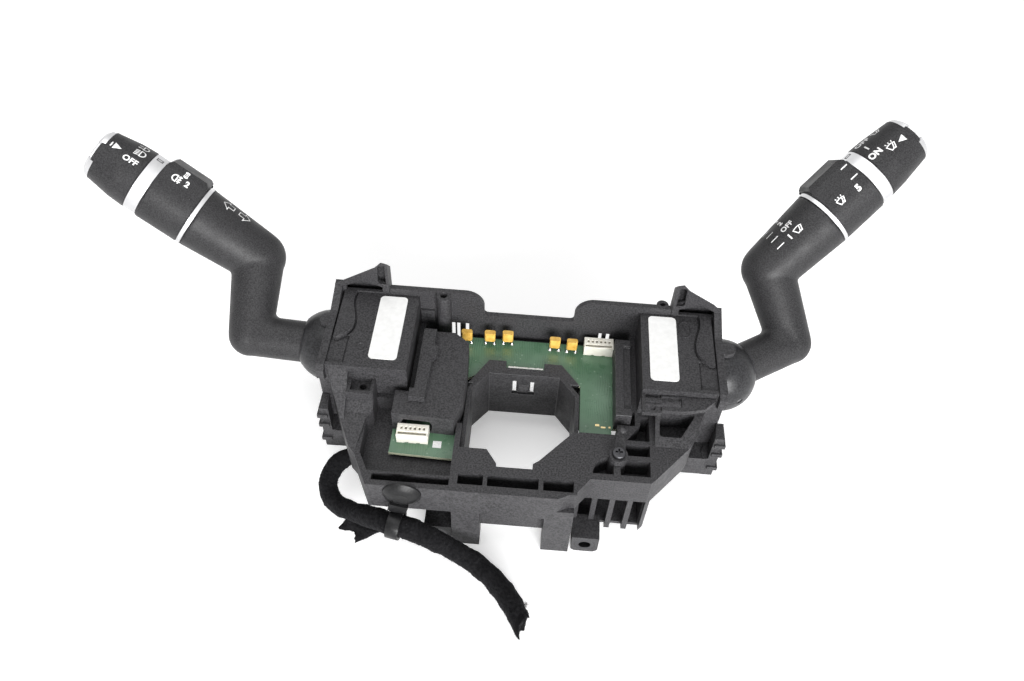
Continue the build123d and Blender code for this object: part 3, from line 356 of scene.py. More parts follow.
FINISHES = {
    "housing_black": moulded_plastic(
        "housing_plastic", (0.0150, 0.0147, 0.0157), (0.0235, 0.0230, 0.0244),
        0.50, 2.2, 0.035, 0.5,
    ),
    "lever_black": moulded_plastic(
        "lever_soft_paint", (0.0085, 0.0084, 0.0090), (0.0150, 0.0147, 0.0155),
        0.46, 3.0, 0.022, 0.35,
    ),
    "pivot_black": moulded_plastic(
        "pivot_acetal", (0.010, 0.010, 0.011), (0.014, 0.014, 0.015),
        0.34, 2.0, 0.006,
    ),
    "inner_plastic": moulded_plastic(
        "inner_plastic_grained", (0.0032, 0.0031, 0.0034), (0.0060, 0.0059, 0.0062),
        0.62, 1.9, 0.03, 0.4, shine=0.08,
    ),
    "satin_silver": satin_metal("satin_silver_plate", (0.72, 0.72, 0.73), 0.34),
    "spring_steel": satin_metal("spring_steel_wire", (0.50, 0.50, 0.51), 0.28),
    "label_white": mottled(
        "label_paper", 0.42, (0.35, 5.0, 0.3, 0.75),
        ((0.80, 0.80, 0.79), (0.90, 0.90, 0.89)), (1.6, 3.0, 0.01), (0.5, 0.36),
    ),
    "board_green": solder_mask(),
    "connector_cream": mottled(
        "connector_nylon", 0.42, (0.3, 3.0, 0.35, 0.7),
        ((0.78, 0.75, 0.66), (0.88, 0.86, 0.79)), (2.2, 2.0, 0.012), (0.5, 0.38),
    ),
    "capacitor_mustard": dipped_capacitor(),
    "loom_fabric": fleece_tape(),
}
# Lighter colour on the bevelled edges: partly rubbed wear, partly a painted edge highlight.
EDGE_WEAR_AND_SHEEN = mottled(  # rubbed by hands and by its mould
    "plastic_edge_wear_and_sheen", 0.38, (0.5, 4.0, 0.42, 0.66),
    ((0.0260, 0.0260, 0.0280), (0.0442, 0.0442, 0.0476)), (3.0, 2.0, 0.01), (0.38, 0.26),
)
# White ink; the same material also paints the light seen through the latch slots.
WHITE_INK_AND_SLOT_LIGHT = mottled(  # ink, thin and a little uneven
    "white_ink_and_slot_light", 0.55, (1.4, 4.0, 0.4, 0.68),
    ((0.72, 0.72, 0.72), (0.88, 0.88, 0.88)), (3.0, 2.0, 0.006),
)
PRINT_DARK = mottled(
    "print_dark", 0.5, (1.4, 4.0, 0.4, 0.7),
    ((0.05, 0.05, 0.055), (0.10, 0.10, 0.105)), (3.0, 2.0, 0.006),
)
FIBRE = mottled(
    "fibre_black", 0.9, (0.5, 2.0, 0.3, 0.7),
    ((0.004, 0.004, 0.0045), (0.014, 0.014, 0.015)), (5.0, 1.0, 0.01), specular=0.08,
)
# Tinned metal of the solder fillets; also the strip that paints a glare on the board.
TIN_AND_GLINT = satin_metal("tinned_pad_and_glint", (0.66, 0.65, 0.62), 0.26)
GOLD = satin_metal("gold_pad", (0.86, 0.68, 0.36), 0.24)
BLACK_ZINC = satin_metal("black_zinc", (0.075, 0.075, 0.08), 0.36)
CLIP_BLACK = moulded_plastic(
    "clip_black", (0.0022, 0.0022, 0.0025), (0.0040, 0.0040, 0.0043),
    0.36, 1.6, 0.02, 0.2,
)
SPECIAL = {"screws": BLACK_ZINC, "fixing_bushes": BLACK_ZINC, "cable_clip": CLIP_BLACK}


# ---- CAD nodes
PIVOTS = {"left": "left_lever_turn", "right": "right_lever_wiper"}
ELBOWS = {"left": Vector((-39.4, 0.8, 2.0)), "right": Vector((35.3, 20.5, 3.0))}
EDGE_MM = 0.22  # rounding of a moulding's edges
HOUSING_EDGE_MM = 0.35
SMALL_EDGE_MM = 0.15
WELD_MM = 0.002
SHARP_ANGLE = radians(35)
FLAT_ANGLE = radians(0.4)


def soften(node, width, edge_material):
    """Round a moulding's sharp edges with modifiers; the CAD mesh itself stays."""
    weld = node.modifiers.new("weld", "WELD")
    weld.merge_threshold = WELD_MM * MM
    flat = node.modifiers.new("flat", "DECIMATE")
    flat.decimate_type = "DISSOLVE"
    flat.angle_limit = FLAT_ANGLE
    bevel = node.modifiers.new("edge", "BEVEL")
    bevel.width = width * MM
    bevel.segments = 2
    bevel.limit_method = "ANGLE"
    bevel.angle_limit = SHARP_ANGLE
    bevel.use_clamp_overlap = True
    bevel.harden_normals = True
    # the bevels take the lighter edge material: rubbed wear and a painted edge highlight
    if edge_material:
        node.data.materials.append(edge_material)
        bevel.material = 1


ELBOW_GRAIN = 0.9  # spacing of the evened mesh of a lever arm
ELBOW_PASSES = 40
ELBOW_REACH = (30.0, 41.0)  # full and no smoothing, from midway between the elbows


def blend_elbows(side):
    """Run the arm's bends into each other as a moulded lever's do."""
    node = nodes[side + "_lever_arm"]
    barrel = Barrel(side)
    pivot = next(j for j in frame["joints"] if j["name"] == PIVOTS[side])
    lower = Vector(pivot["pos_m"]) / MM + ELBOWS[side]
    marker = link_object(side + "_elbow_middle", None)
    marker.location = (lower + barrel.start) / 2 * MM
    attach(marker, side + "_lever")
    group = node.vertex_groups.new(name="elbows")
    even = node.modifiers.new("even", "REMESH")
    even.mode = "VOXEL"
    even.voxel_size = ELBOW_GRAIN * MM
    even.use_smooth_shade = True
    every = node.modifiers.new("every", "VERTEX_WEIGHT_EDIT")
    every.vertex_group = group.name
    every.use_add = True
    every.add_threshold = 0.0
    every.default_weight = 1.0
    near = node.modifiers.new("near", "VERTEX_WEIGHT_PROXIMITY")
    near.vertex_group = group.name
    near.target = marker
    near.proximity_mode = "OBJECT"
    near.min_dist, near.max_dist = (ELBOW_REACH[1] * MM, ELBOW_REACH[0] * MM)
    relax = node.modifiers.new("relax", "SMOOTH")
    relax.factor = 0.5
    relax.iterations = ELBOW_PASSES
    relax.vertex_group = group.name


def slot_of(node):
    """The record's material slot of a CAD node, from its material's name."""
    return node.material_slots[0].material.name.split(".")[0]


def dress_nodes():
    for name, node in nodes.items():
        slot = slot_of(node)
        node.material_slots[0].material = SPECIAL.get(name, FINISHES[slot])
        if slot in ("housing_black", "inner_plastic", "pivot_black"):
            edge = None if name in SPECIAL else EDGE_WEAR_AND_SHEEN
            soften(node, HOUSING_EDGE_MM if name == "main_housing" else EDGE_MM, edge)
        elif slot in ("connector_cream", "capacitor_mustard"):
            soften(node, SMALL_EDGE_MM, None)


# ---- mesh helpers
def add_object(name, mesh, material, body):
    """Link a mesh as a piece that rides on a CAD body."""
    mesh.materials.append(material)
    piece = link_object(name, mesh)
    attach(piece, body)
    return piece


def mesh_in_metres(bm, name):
    """The mesh of a bmesh that was made in millimetres."""
    bmesh.ops.scale(bm, vec=(MM, MM, MM), verts=bm.verts)
    mesh = bpy.data.meshes.new(name)
    bm.to_mesh(mesh)
    bm.free()
    return mesh


def finish_bmesh(bm, name, material, body="housing", smooth=True):
    """Turn a bmesh in millimetres into a piece in metres."""
    bmesh.ops.recalc_face_normals(bm, faces=bm.faces)
    mesh = mesh_in_metres(bm, name)
    if smooth:
        mesh.shade_smooth()
    return add_object(name, mesh, material, body)


def add_box(bm, low, high, edge=0.0):
    """A box between two corners, its edges rounded."""
    made = bmesh.ops.create_cube(bm, size=1.0)
    low, high = Vector(low), Vector(high)
    size = high - low
    for vert in made["verts"]:
        vert.co = Vector(
            (low[k] + size[k] * (vert.co[k] + 0.5)) for k in range(3)
        )
    if edge:
        edges = {e for v in made["verts"] for e in v.link_edges}
        bmesh.ops.bevel(
            bm, geom=list(edges), offset=edge, segments=2, profile=0.5, affect="EDGES"
        )


def add_turned(bm, centre, axis, profile, segments):
    """A turned form: (radius, height) points spun about an axis through a centre."""
    axis = Vector(axis).normalized()
    side = axis.orthogonal().normalized()
    other = axis.cross(side)
    rings = []
    for radius, height in profile:
        ring = []
        for k in range(segments if radius > 0 else 1):
            angle = 2 * pi * k / segments
            spoke = side * cos(angle) + other * sin(angle)
            ring.append(bm.verts.new(Vector(centre) + axis * height + spoke * radius))
        rings.append(ring)
    for a, b in zip(rings, rings[1:]):
        for k in range(segments):
            n = k + 1
            corners = [a[k % len(a)], a[n % len(a)], b[n % len(b)], b[k % len(b)]]
            corners = list(dict.fromkeys(corners))
            if len(corners) > 2:
                bm.faces.new(corners)


def bridge(bm, rows, closed=True):
    """Faces between neighbouring rows of vertices, each a ring or an open line."""
    for a, b in zip(rows, rows[1:]):
        for k in range(len(a) if closed else len(a) - 1):
            n = (k + 1) % len(a)
            bm.faces.new((a[k], a[n], b[n], b[k]))


def add_bar(bm, sections):
    """A closed bar through sections that are rings of points."""
    rows = [[bm.verts.new(point) for point in section] for section in sections]
    bridge(bm, rows)
    bm.faces.new(rows[0])
    bm.faces.new(rows[-1])


def taken_mesh(data):
    """Vertices and faces that a curve or a text makes; the curve is removed."""
    holder = bpy.data.objects.new(data.name, data)
    mesh = bpy.data.meshes.new_from_object(holder)
    verts = [v.co.copy() for v in mesh.vertices]
    faces = [tuple(p.vertices) for p in mesh.polygons]
    bpy.data.meshes.remove(mesh)
    bpy.data.objects.remove(holder)
    bpy.data.curves.remove(data)
    return verts, faces


# ---- loom
LOOM_D = 9.6
LOOM_ROUTE = [
    (-69.0, -12.0, 21.0),
    (-77.8, -12.0, 21.0),
    (-85.4, -17.4, 18.0),
    (-87.2, -26.2, 15.0),
    (-81.8, -34.8, 14.0),
    (-67.5, -41.8, 19.0),
    (-56.0, -46.6, 24.0),
    (-46.3, -48.4, 23.8),
    (-36.0, -49.4, 18.0),
    (-26.5, -50.6, 10.5),
    (-15.5, -53.5, 5.0),
    (-5.3, -61.5, 5.0),
    (3.2, -72.5, 5.0),
    (9.0, -84.0, 5.0),
]
WRAP_PITCH = 8.5  # advance of the tape per turn
WRAP_STEP = 0.28  # how far a turn's edge stands over the last
FIRST_WRAP_IN = 0.55  # how far the first layer lies inside the loom's radius
SECOND_WRAP_AT = 48.0  # from here on a second layer lies over the first
SECOND_WRAP_RUN = 10.0  # length over which it rises
SECOND_WRAP = 0.45
SWELL, SWELL_PER_MM = 0.12, 0.11  # slow change of the second layer's thickness
LUMPS = (0.16, 0.7, 0.55)  # wires felt through the tape: along, around, height
MATTED = (0.9, 3.5, 0.22)  # the fleece itself, likewise
CUT_SLANT = 7.0  # how far one side of the cut end falls short
CUT_RUN = 20.0  # length over which the cut's slant grows
CUT_TAPER = 0.10  # share of its radius that the loom loses there
TORN_AROUND = 2.6  # notches round the cut, and their depth
TORN_DEPTH = 2.4
TORN_OUT = 0.6  # the furthest that the torn edge stands out
LOOM_STEP = 0.7  # spacing of the loom's rings
LOOM_AROUND = 44  # points in a ring
END_RINGS = [(0.86, 0.9), (0.6, 1.6), (0.3, 1.2)]  # share of the radius, depth
END_ROUGH = 0.9
FIBRE_WIDTH = 0.026
FIBRE_BLADES = 3
FIBRE_TAPER = 3.3  # blades after which a fibre would come to a point
FIBRE_BEND = 0.45  # share of its curl that each blade adds
FUZZ_COUNT = 10500
FUZZ_AT_END = 8  # one in so many stands at the cut end
FUZZ_LENGTH = (0.35, 1.3)  # shortest, and what the longest has more
TUFT_COUNT = 90
TUFT_FROM_END = 17  # rings
TUFT_LENGTH = (1.5, 3.2)
TUFT_WIDTH = 0.035
FLOOR_GAP = 0.05


def spline_points(route):
    """Points in millimetres along the NURBS line that a route's points control."""
    data = bpy.data.curves.new("route", "CURVE")
    data.dimensions = "3D"
    data.resolution_u = 32
    spline = data.splines.new("NURBS")
    spline.points.add(len(route) - 1)
    for point, at in zip(spline.points, route):
        point.co = (*at, 1.0)
    spline.order_u = 3
    spline.use_endpoint_u = True
    return taken_mesh(data)[0]


def even_points(line, step):
    """The line again with evenly spaced points, and its length."""
    lengths = [0.0]
    for a, b in zip(line, line[1:]):
        lengths.append(lengths[-1] + (b - a).length)
    count = round(lengths[-1] / step)
    points = []
    k = 0
    for i in range(count + 1):
        station = lengths[-1] * i / count
        while k < len(line) - 2 and lengths[k + 1] < station:
            k += 1
        part = (station - lengths[k]) / max(lengths[k + 1] - lengths[k], 1e-9)
        points.append(line[k].lerp(line[k + 1], min(part, 1.0)))
    return points, lengths[-1]


def carried_frames(points):
    """Tangent, side and normal at each point, carried along without twist."""
    frames = []
    side = None
    for i, point in enumerate(points):
        ahead = points[min(i + 1, len(points) - 1)]
        behind = points[max(i - 1, 0)]
        tangent = (ahead - behind).normalized()
        if side is None:
            side = tangent.cross(Vector((0, 0, 1))).normalized()
        side = (side - tangent * side.dot(tangent)).normalized()
        frames.append((tangent, side, tangent.cross(side)))
    return frames


def unevenness(station, angle, relief):
    """Noise over the loom's skin; relief holds its scale along and around, and height."""
    along, around, height = relief
    spot = Vector((station * along, cos(angle) * around, sin(angle) * around))
    return noise.noise(spot) * height


def loom_radius(station, angle):
    """Radius of the taped bundle: lapped turns, lumps of wires and matted fibre."""
    turn = station / WRAP_PITCH + angle / (2 * pi)
    lap = (turn % 1.0) ** 3 * WRAP_STEP
    lumps = unevenness(station, angle, LUMPS)
    rough = unevenness(station, angle, MATTED)
    risen = min(max((station - SECOND_WRAP_AT) / SECOND_WRAP_RUN, 0.0), 1.0)
    second_wrap = risen * (SECOND_WRAP + SWELL * sin(station * SWELL_PER_MM))
    return LOOM_D / 2 - FIRST_WRAP_IN + second_wrap + lap + lumps + rough


def loom_surface(points, frames, length):
    """Rings of points of the loom; its last turns end in a slanted cut."""
    rings = []
    for i, (point, (tangent, side, normal)) in enumerate(zip(points, frames)):
        station = length * i / (len(points) - 1)
        ramp = max(0.0, (station - (length - CUT_RUN)) / CUT_RUN)
        ring = []
        for k in range(LOOM_AROUND):
            angle = 2 * pi * k / LOOM_AROUND
            spoke = side * cos(angle) + normal * sin(angle)
            short = CUT_SLANT * ramp**1.5 * (1 - cos(angle)) / 2
            edge = Vector((cos(angle) * TORN_AROUND, sin(angle) * TORN_AROUND, 7.0))
            torn = max(noise.noise(edge) * TORN_DEPTH * ramp**3, -TORN_OUT)
            radius = loom_radius(station, angle) * (1.0 - CUT_TAPER * ramp**4)
            place = point + spoke * radius - tangent * (short + torn)
            place.z = max(place.z, FLOOR_GAP)
            ring.append(place)
        rings.append(ring)
    return rings


def close_end(bm, row, back):
    """Sink a ragged hollow into the loom's end, from its last ring along a heading."""
    centre = sum((v.co for v in row), Vector()) / len(row)
    rings = [row]
    for keep, depth in END_RINGS:
        ring = []
        for v in row:
            rough = noise.noise(v.co * 0.9 + Vector((keep * 9, 0, 0))) * END_ROUGH
            at = centre.lerp(v.co, keep) + back * (depth + rough)
            at.z = max(at.z, FLOOR_GAP)
            ring.append(bm.verts.new(at))
        rings.append(ring)
    bridge(bm, rings)
    bm.faces.new(rings[-1])


def make_loom():
    points, length = even_points(spline_points(LOOM_ROUTE), LOOM_STEP)
    frames = carried_frames(points)
    rings = loom_surface(points, frames, length)
    bm = bmesh.new()
    rows = [[bm.verts.new(p) for p in ring] for ring in rings]
    bridge(bm, rows)
    for end, inner in ((0, 6), (-1, -7)):
        inward = rows[inner][0].co - rows[end][0].co
        close_end(bm, rows[end], inward.normalized())
    loom = finish_bmesh(bm, "loom_tape", FINISHES["loom_fabric"])
    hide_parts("loom")
    fuzz = make_fuzz(rings)
    flag = make_tape_flag()
    tuft = make_tuft(points, frames)


def add_fibre(bm, root, heading, length, width, curl):
    """A curled, tapering fibre of a few short blades."""
    across = heading.orthogonal().normalized() * width
    last = None
    direction = heading.copy()
    place = root.copy()
    for step in range(FIBRE_BLADES + 1):
        half = across * (1.0 - step / FIBRE_TAPER)
        pair = [bm.verts.new(place - half), bm.verts.new(place + half)]
        if last:
            bm.faces.new((last[0], last[1], pair[1], pair[0]))
        last = pair
        direction = (direction + curl * FIBRE_BEND).normalized()
        place = place + direction * (length / FIBRE_BLADES)
        place.z = max(place.z, FLOOR_GAP)


def random_vector():
    return Vector((rng.gauss(0, 1), rng.gauss(0, 1), rng.gauss(0, 1)))


def make_fuzz(rings):
    """Loose fibres that stand off the fleece."""
    bm = bmesh.new()
    last = len(rings) - 1
    for count in range(FUZZ_COUNT):
        at_end = count % FUZZ_AT_END == 0
        i = last - rng.randrange(4) if at_end else rng.randrange(3, last)
        k = rng.randrange(LOOM_AROUND)
        ring = rings[i]
        centre = sum(ring, Vector()) / LOOM_AROUND
        root = ring[k].lerp(ring[(k + 1) % LOOM_AROUND], rng.random())
        outward = (root - centre).normalized()
        heading = (outward + random_vector() * 0.55).normalized()
        length = FUZZ_LENGTH[0] + rng.random() ** 2 * FUZZ_LENGTH[1]
        root -= outward * 0.1
        add_fibre(bm, root, heading, length, FIBRE_WIDTH, random_vector() * 0.8)
    return finish_bmesh(bm, "loom_fuzz", FIBRE)


FLAG_ROOT = [(-57.6, -49.2, 19.5), (-73.5, -41.6, 16.5)]
FLAG_TIP = [(-69.2, -52.6, 13.0), (-78.2, -46.0, 12.5)]
FLAG_STEPS = (14, 16)  # along it and across it
FLAG_HALF = 0.45  # half its thickness at the root


def rim(grid):
    """The four edges of a grid of vertices, in order round it."""
    return [grid[0], [r[-1] for r in grid], grid[-1][::-1], [r[0] for r in grid][::-1]]


def make_tape_flag():
    """The tape's loose end: two layers pressed together, torn at the tip."""
    bm = bmesh.new()
    a0, a1 = (Vector(p) for p in FLAG_ROOT)
    b0, b1 = (Vector(p) for p in FLAG_TIP)
    run_steps, across_steps = FLAG_STEPS
    grids = []
    for layer in (-FLAG_HALF, FLAG_HALF):
        grid = []
        for i in range(run_steps + 1):
            t = i / run_steps
            row = []
            for k in range(across_steps + 1):
                u = k / across_steps
                tear = 1.0 - 0.34 * sin(u * pi) ** 2 * t - 0.05 * abs(sin(u * 17.0)) * t
                root, tip = a0.lerp(a1, u), b0.lerp(b1, u)
                place = root.lerp(tip, t * tear)
                wave = noise.noise(Vector((u * 2.2, t * 2.0, 3.1))) * 1.3
                place.z += wave + layer * (1.0 - 0.5 * t)
                row.append(bm.verts.new(place))
            grid.append(row)
        bridge(bm, grid, closed=False)
        grids.append(grid)
    for low, high in zip(*(rim(grid) for grid in grids)):
        bridge(bm, [low, high], closed=False)
    for root in [v.co.copy() for v in bm.verts if rng.random() < 0.9]:
        heading = random_vector().normalized()
        length = 0.5 + rng.random()
        add_fibre(bm, root, heading, length, FIBRE_WIDTH, random_vector())
    return finish_bmesh(bm, "loom_tape_flag", FINISHES["loom_fabric"])


def make_tuft(points, frames):
    """Pulled threads near the cut end."""
    bm = bmesh.new()
    i = len(points) - TUFT_FROM_END
    tangent, side, normal = frames[i]
    root = points[i] - side * (LOOM_D / 2 - 0.4)
    outward = -side - tangent * 0.15 + normal * 0.35
    for _ in range(TUFT_COUNT):
        heading = (outward + random_vector() * 0.28).normalized()
        start = root + random_vector() * 0.55
        length = TUFT_LENGTH[0] + rng.random() * TUFT_LENGTH[1]
        add_fibre(bm, start, heading, length, TUFT_WIDTH, random_vector() * 0.7)
    return finish_bmesh(bm, "loom_tuft", FIBRE)


# ---- board details
BOARD_TOP = 42.0
CAPACITOR_PLACES = [(-29.1, 43.4), (-18.0, 43.8), (-9.4, 44.4), (13.4, 42.7), (21.6, 42.3)]
LEAD_OFFSET = 2.1
SOLDER_FILLET = [(0.8, 0.18), (0.5, 0.5)]  # share of its foot's radius, height
LEAD_TIP = [(0.38, 1.0), (0.0, 1.1)]
GOLD_PADS = [(34.6, 0.4, 1.9, 1.1), (37.3, -0.6, 2.2, 0.8), (40.2, -0.4, 0.9, 0.9)]
PAD_HEIGHT = 0.12
MARK_SQUARE = (-38.2, -18.3, -34.4, -14.8)
MARK_HEIGHT = 0.03
# place of the tinned strip that paints a glare on the board
GLINT_STRIP = (-8.0, 29.6, 8.6, 30.5)
STRIP_HEIGHT = 0.14
STRIP_STEPS = 34
SLEEVE_FAR = 24.0  # the sleeve's far inner wall
LATCH_SLOTS = [(-5.4, -3.6), (3.0, 4.8)]
SLOT_LEVELS = (31.2, 38.8)
# depths of the pale blocks that paint the light seen through the latch slots
SLOT_LIGHT_DEPTHS = (0.5, 1.4)  # behind that wall


def make_solder():
    """Fillets of solder round the capacitors' leads, each a little uneven."""
    bm = bmesh.new()
    for x, y in CAPACITOR_PLACES:
        for side in (-1, 1):
            wide = 0.85 + rng.random() * 0.25
            at = (x + side * LEAD_OFFSET, y - 0.1, BOARD_TOP)
            fillet = [(wide * share, height) for share, height in SOLDER_FILLET]
            add_turned(bm, at, (0, 0, 1), [(wide, 0.0)] + fillet + LEAD_TIP, 16)
    finish_bmesh(bm, "solder_fillets", TIN_AND_GLINT)


def make_pads():
    """Bare gold test pads at the board's near edge."""
    bm = bmesh.new()
    for x, y, length, width in GOLD_PADS:
        low = (x - length / 2, y - width / 2, BOARD_TOP)
        high = (x + length / 2, y + width / 2, BOARD_TOP + PAD_HEIGHT)
        add_box(bm, low, high, 0.04)
    finish_bmesh(bm, "gold_pads", GOLD, smooth=False)


def make_board_square():
    """The blank printed square beside the left connector."""
    bm = bmesh.new()
    x0, y0, x1, y1 = MARK_SQUARE
    add_box(bm, (x0, y0, BOARD_TOP), (x1, y1, BOARD_TOP + MARK_HEIGHT))
    finish_bmesh(bm, "board_blank_square", WHITE_INK_AND_SLOT_LIGHT, smooth=False)


def make_latch_slot_light():
    """Painted light: pale blocks in the two slots beside the sleeve's latch, standing in for the
    bright background seen through them.
    """
    bm = bmesh.new()
    near, far = (SLEEVE_FAR + depth for depth in SLOT_LIGHT_DEPTHS)
    for x0, x1 in LATCH_SLOTS:
        add_box(bm, (x0, near, SLOT_LEVELS[0]), (x1, far, SLOT_LEVELS[1]), 0.15)
    finish_bmesh(bm, "latch_slot_light", WHITE_INK_AND_SLOT_LIGHT, smooth=False)


def make_board_glint():
    """Painted highlight: a ragged tinned strip on the board, past the sleeve's flange, that
    stands in for a glare seen there.
    """
    bm = bmesh.new()
    x0, near, x1, y1 = GLINT_STRIP
    top = BOARD_TOP + STRIP_HEIGHT
    sections = []
    for i in range(STRIP_STEPS + 1):
        x = x0 + (x1 - x0) * i / STRIP_STEPS
        far = y1 + noise.noise(Vector((x * 0.9, 4.0, 0.0))) * 0.45
        section = [(near, BOARD_TOP), (near + 0.2, top), (far - 0.2, top), (far, BOARD_TOP)]
        sections.append([(x, y, z) for y, z in section])
    add_bar(bm, sections)
    finish_bmesh(bm, "board_glint_strip", TIN_AND_GLINT, smooth=False)


# ---- printed marks
INK_LIFT = 0.05  # height of the ink over the moulding
STROKE = 0.55  # width of a printed line
FINE = STROKE * 0.8
CAPITAL = 0.72  # a capital's height, as a share of the typeface's size
SPACING = 1.06  # between letters
BOLD = 0.065  # thickening of a letter, as a share of its height
FOLD = 0.3  # spacing of the cuts that let a mark follow the barrel
BARREL_R = 15.0
RAY_START = 40.0  # clear of the barrel, for the rays that find its surface
RIB_EDGE = (14.8, 8.5)  # the rib's long edge, out from the axis and off its middle
RIB_BEVEL = 0.5
RIB_OUT = 1.5  # only the rib stands out further than this
RAMP_SUNK = (0.03, 1.2)  # how far a ramp's foot and its back lie in the collar
RAMP_DEEPEST = 1.3
COLLARS = {"left": (35.1, 55.7), "right": (36.1, 58.2)}
CAP_ENDS = {"left": 82.5, "right": 88.0}
TONGUE_TIP = 1.2  # length at the cap's end that only its tongues reach
TONGUE_HALF = 20.0  # degrees
SKIRT_SECTION = [(-3.6, 12.52), (-1.7, 12.30), (-1.7, 12.16), (-3.6, 12.16)]
SKIRT_STEPS = 26


class Barrel:
    """A lever's barrel: stations along its axis, angles about it from its upper side."""

    def __init__(self, side):
        joint = next(j for j in frame["joints"] if j["name"] == side + "_cap_turn")
        self.side = side
        self.start = Vector(joint["pos_m"]) / MM
        self.axis = Vector(joint["axis"]).normalized()
        if self.axis.z < 0:
            self.axis = -self.axis
        self.up = (Vector((0, 0, 1)) - self.axis * self.axis.z).normalized()
        self.across = self.axis.cross(self.up)
        # print on the left barrel reads towards the housing, on the right towards the tip
        self.reading = -1.0 if side == "left" else 1.0
        self.trees = {}
        self.added = {}

    def point(self, station, angle, radius):
        spoke = self.up * cos(angle) + self.across * sin(angle)
        return self.start + self.axis * station + spoke * radius

    def tree(self, node_name):
        """The node's faces, with those of what the scene adds on it."""
        if node_name not in self.trees:
            verts, faces = [], []
            for mesh in [nodes[node_name].data] + self.added.get(node_name, []):
                faces += [tuple(len(verts) + i for i in p.vertices) for p in mesh.polygons]
                verts += [v.co / MM for v in mesh.vertices]
            self.trees[node_name] = BVHTree.FromPolygons(verts, faces)
        return self.trees[node_name]

    def widest(self, node_name, beyond):
        """Mean angle of the part of a node that stands out past a radius."""
        total = Vector((0.0, 0.0))
        for vert in nodes[node_name].data.vertices:
            arm = vert.co / MM - self.start
            arm -= self.axis * arm.dot(self.axis)
            if arm.length > beyond:
                total += Vector((arm.dot(self.up), arm.dot(self.across)))
        return atan2(total.y, total.x)

    def tongue_angle(self):
        """Angle in degrees of one of the cap's three tongues, from their tips."""
        total = Vector((0.0, 0.0))
        for vert in nodes[self.side + "_end_cap"].data.vertices:
            arm = vert.co / MM - self.start
            if arm.dot(self.axis) > CAP_ENDS[self.side] - TONGUE_TIP:
                angle = 3 * atan2(arm.dot(self.across), arm.dot(self.up))
                total += Vector((cos(angle), sin(angle)))
        return degrees(atan2(total.y, total.x)) / 3

    def surface(self, node_name, station, angle):
        """Place of ink on a node's outer face."""
        spoke = self.up * cos(angle) + self.across * sin(angle)
        origin = self.start + self.axis * station
        outside = origin + spoke * RAY_START
        hit, normal, _, _ = self.tree(node_name).ray_cast(outside, -spoke)
        if hit is None:
            return origin + spoke * BARREL_R
        if normal.dot(spoke) < 0:
            normal = -normal
        return hit + normal * INK_LIFT


def ribbon(points, width=STROKE, closed=False):
    """A flat line of that width as (vertices, faces), with mitred corners."""
    pts = [Vector(p) for p in points]
    n = len(pts)
    verts, faces = [], []
    for i, p in enumerate(pts):
        before = pts[i - 1] if (i or closed) else None
        after = pts[(i + 1) % n] if (i < n - 1 or closed) else None
        d0 = (p - before).normalized() if before is not None else (after - p).normalized()
        d1 = (after - p).normalized() if after is not None else d0
        n0, n1 = Vector((-d0.y, d0.x)), Vector((-d1.y, d1.x))
        mitre = (n0 + n1).normalized()
        reach = width / 2 / max(mitre.dot(n1), 0.35)
        verts += [p - mitre * reach, p + mitre * reach]
    for i in range(n if closed else n - 1):
        a, b = 2 * i, 2 * ((i + 1) % n)
        faces.append((a, b, b + 1, a + 1))
    return verts, faces


def arc(centre, radius, start, end, count=10):
    """Points on a circular arc, angles in degrees."""
    steps = [radians(start + (end - start) * k / count) for k in range(count + 1)]
    return [(centre[0] + radius * cos(a), centre[1] + radius * sin(a)) for a in steps]


def lettering(text, height, bold=BOLD):
    """A word or number as flat geometry, centred, in Blender's own plain typeface."""
    data = bpy.data.curves.new("lettering", "FONT")
    data.body = text
    data.size = height / CAPITAL
    data.offset = bold * height
    data.align_x = "CENTER"
    data.align_y = "CENTER"
    data.space_character = SPACING
    verts, faces = taken_mesh(data)
    return [([v.xy for v in verts], faces)]


def lamp_symbol(size, beams, wave=False):
    """A lamp's bowl with its beams, as on any light switch."""
    half, back = size / 2, -0.08 * size
    bowl = arc((0.1 * size, 0), half, -90, 90) + [(back, half), (back, -half)]
    parts = [ribbon(bowl, closed=True)]
    for k in range(beams):
        y = (k - (beams - 1) / 2) * size / (beams - 0.4)
        parts.append(ribbon([(-0.26 * size, y), (-0.80 * size, y - 0.16 * size)]))
    if wave:
        line = [
            ((0.07 * sin(k * 1.6) - 0.5) * size, (k / 8 - 0.5) * 1.25 * size)
            for k in range(9)
        ]
        parts.append(ribbon(line))
    return parts


def barred_symbol(size):
    """Two curved brackets with bars between them, as for both lamps at once."""
    half = size / 2
    parts = [ribbon(arc((0, 0), half, a, a + 90, 6), FINE) for a in (45, 225)]
    for k in (-1, 0, 1):
        y = k * 0.26 * size
        parts.append(ribbon([(-0.34 * size, y), (0.34 * size, y)], STROKE * 0.7))
    return parts


def wiper_symbol(size, drops=0):
    """A windscreen outline with its wiper blade."""
    width = STROKE * 0.9
    top = arc((0, -size * 1.25), size * 1.75, 112, 68, 6)
    bottom = arc((0, -size * 1.25), size * 0.95, 70, 110, 6)
    parts = [ribbon(top + bottom, width, closed=True)]
    parts.append(ribbon([(0.0, -0.38 * size), (0.34 * size, 0.36 * size)], width))
    for k in range(drops):
        x = (k - (drops - 1) / 2) * size * 0.42
        parts.append(ribbon([(x, 0.62 * size), (x * 1.25, 0.86 * size)], width))
    return parts


def block_arrow(length, width):
    """Outline of a plain arrow that points along +x."""
    half, neck = width / 2, width / 4.5
    outline = [
        (length / 2, 0), (0, half), (0, neck), (-length / 2, neck),
        (-length / 2, -neck), (0, -neck), (0, -half),
    ]
    return [ribbon(outline, FINE, closed=True)]


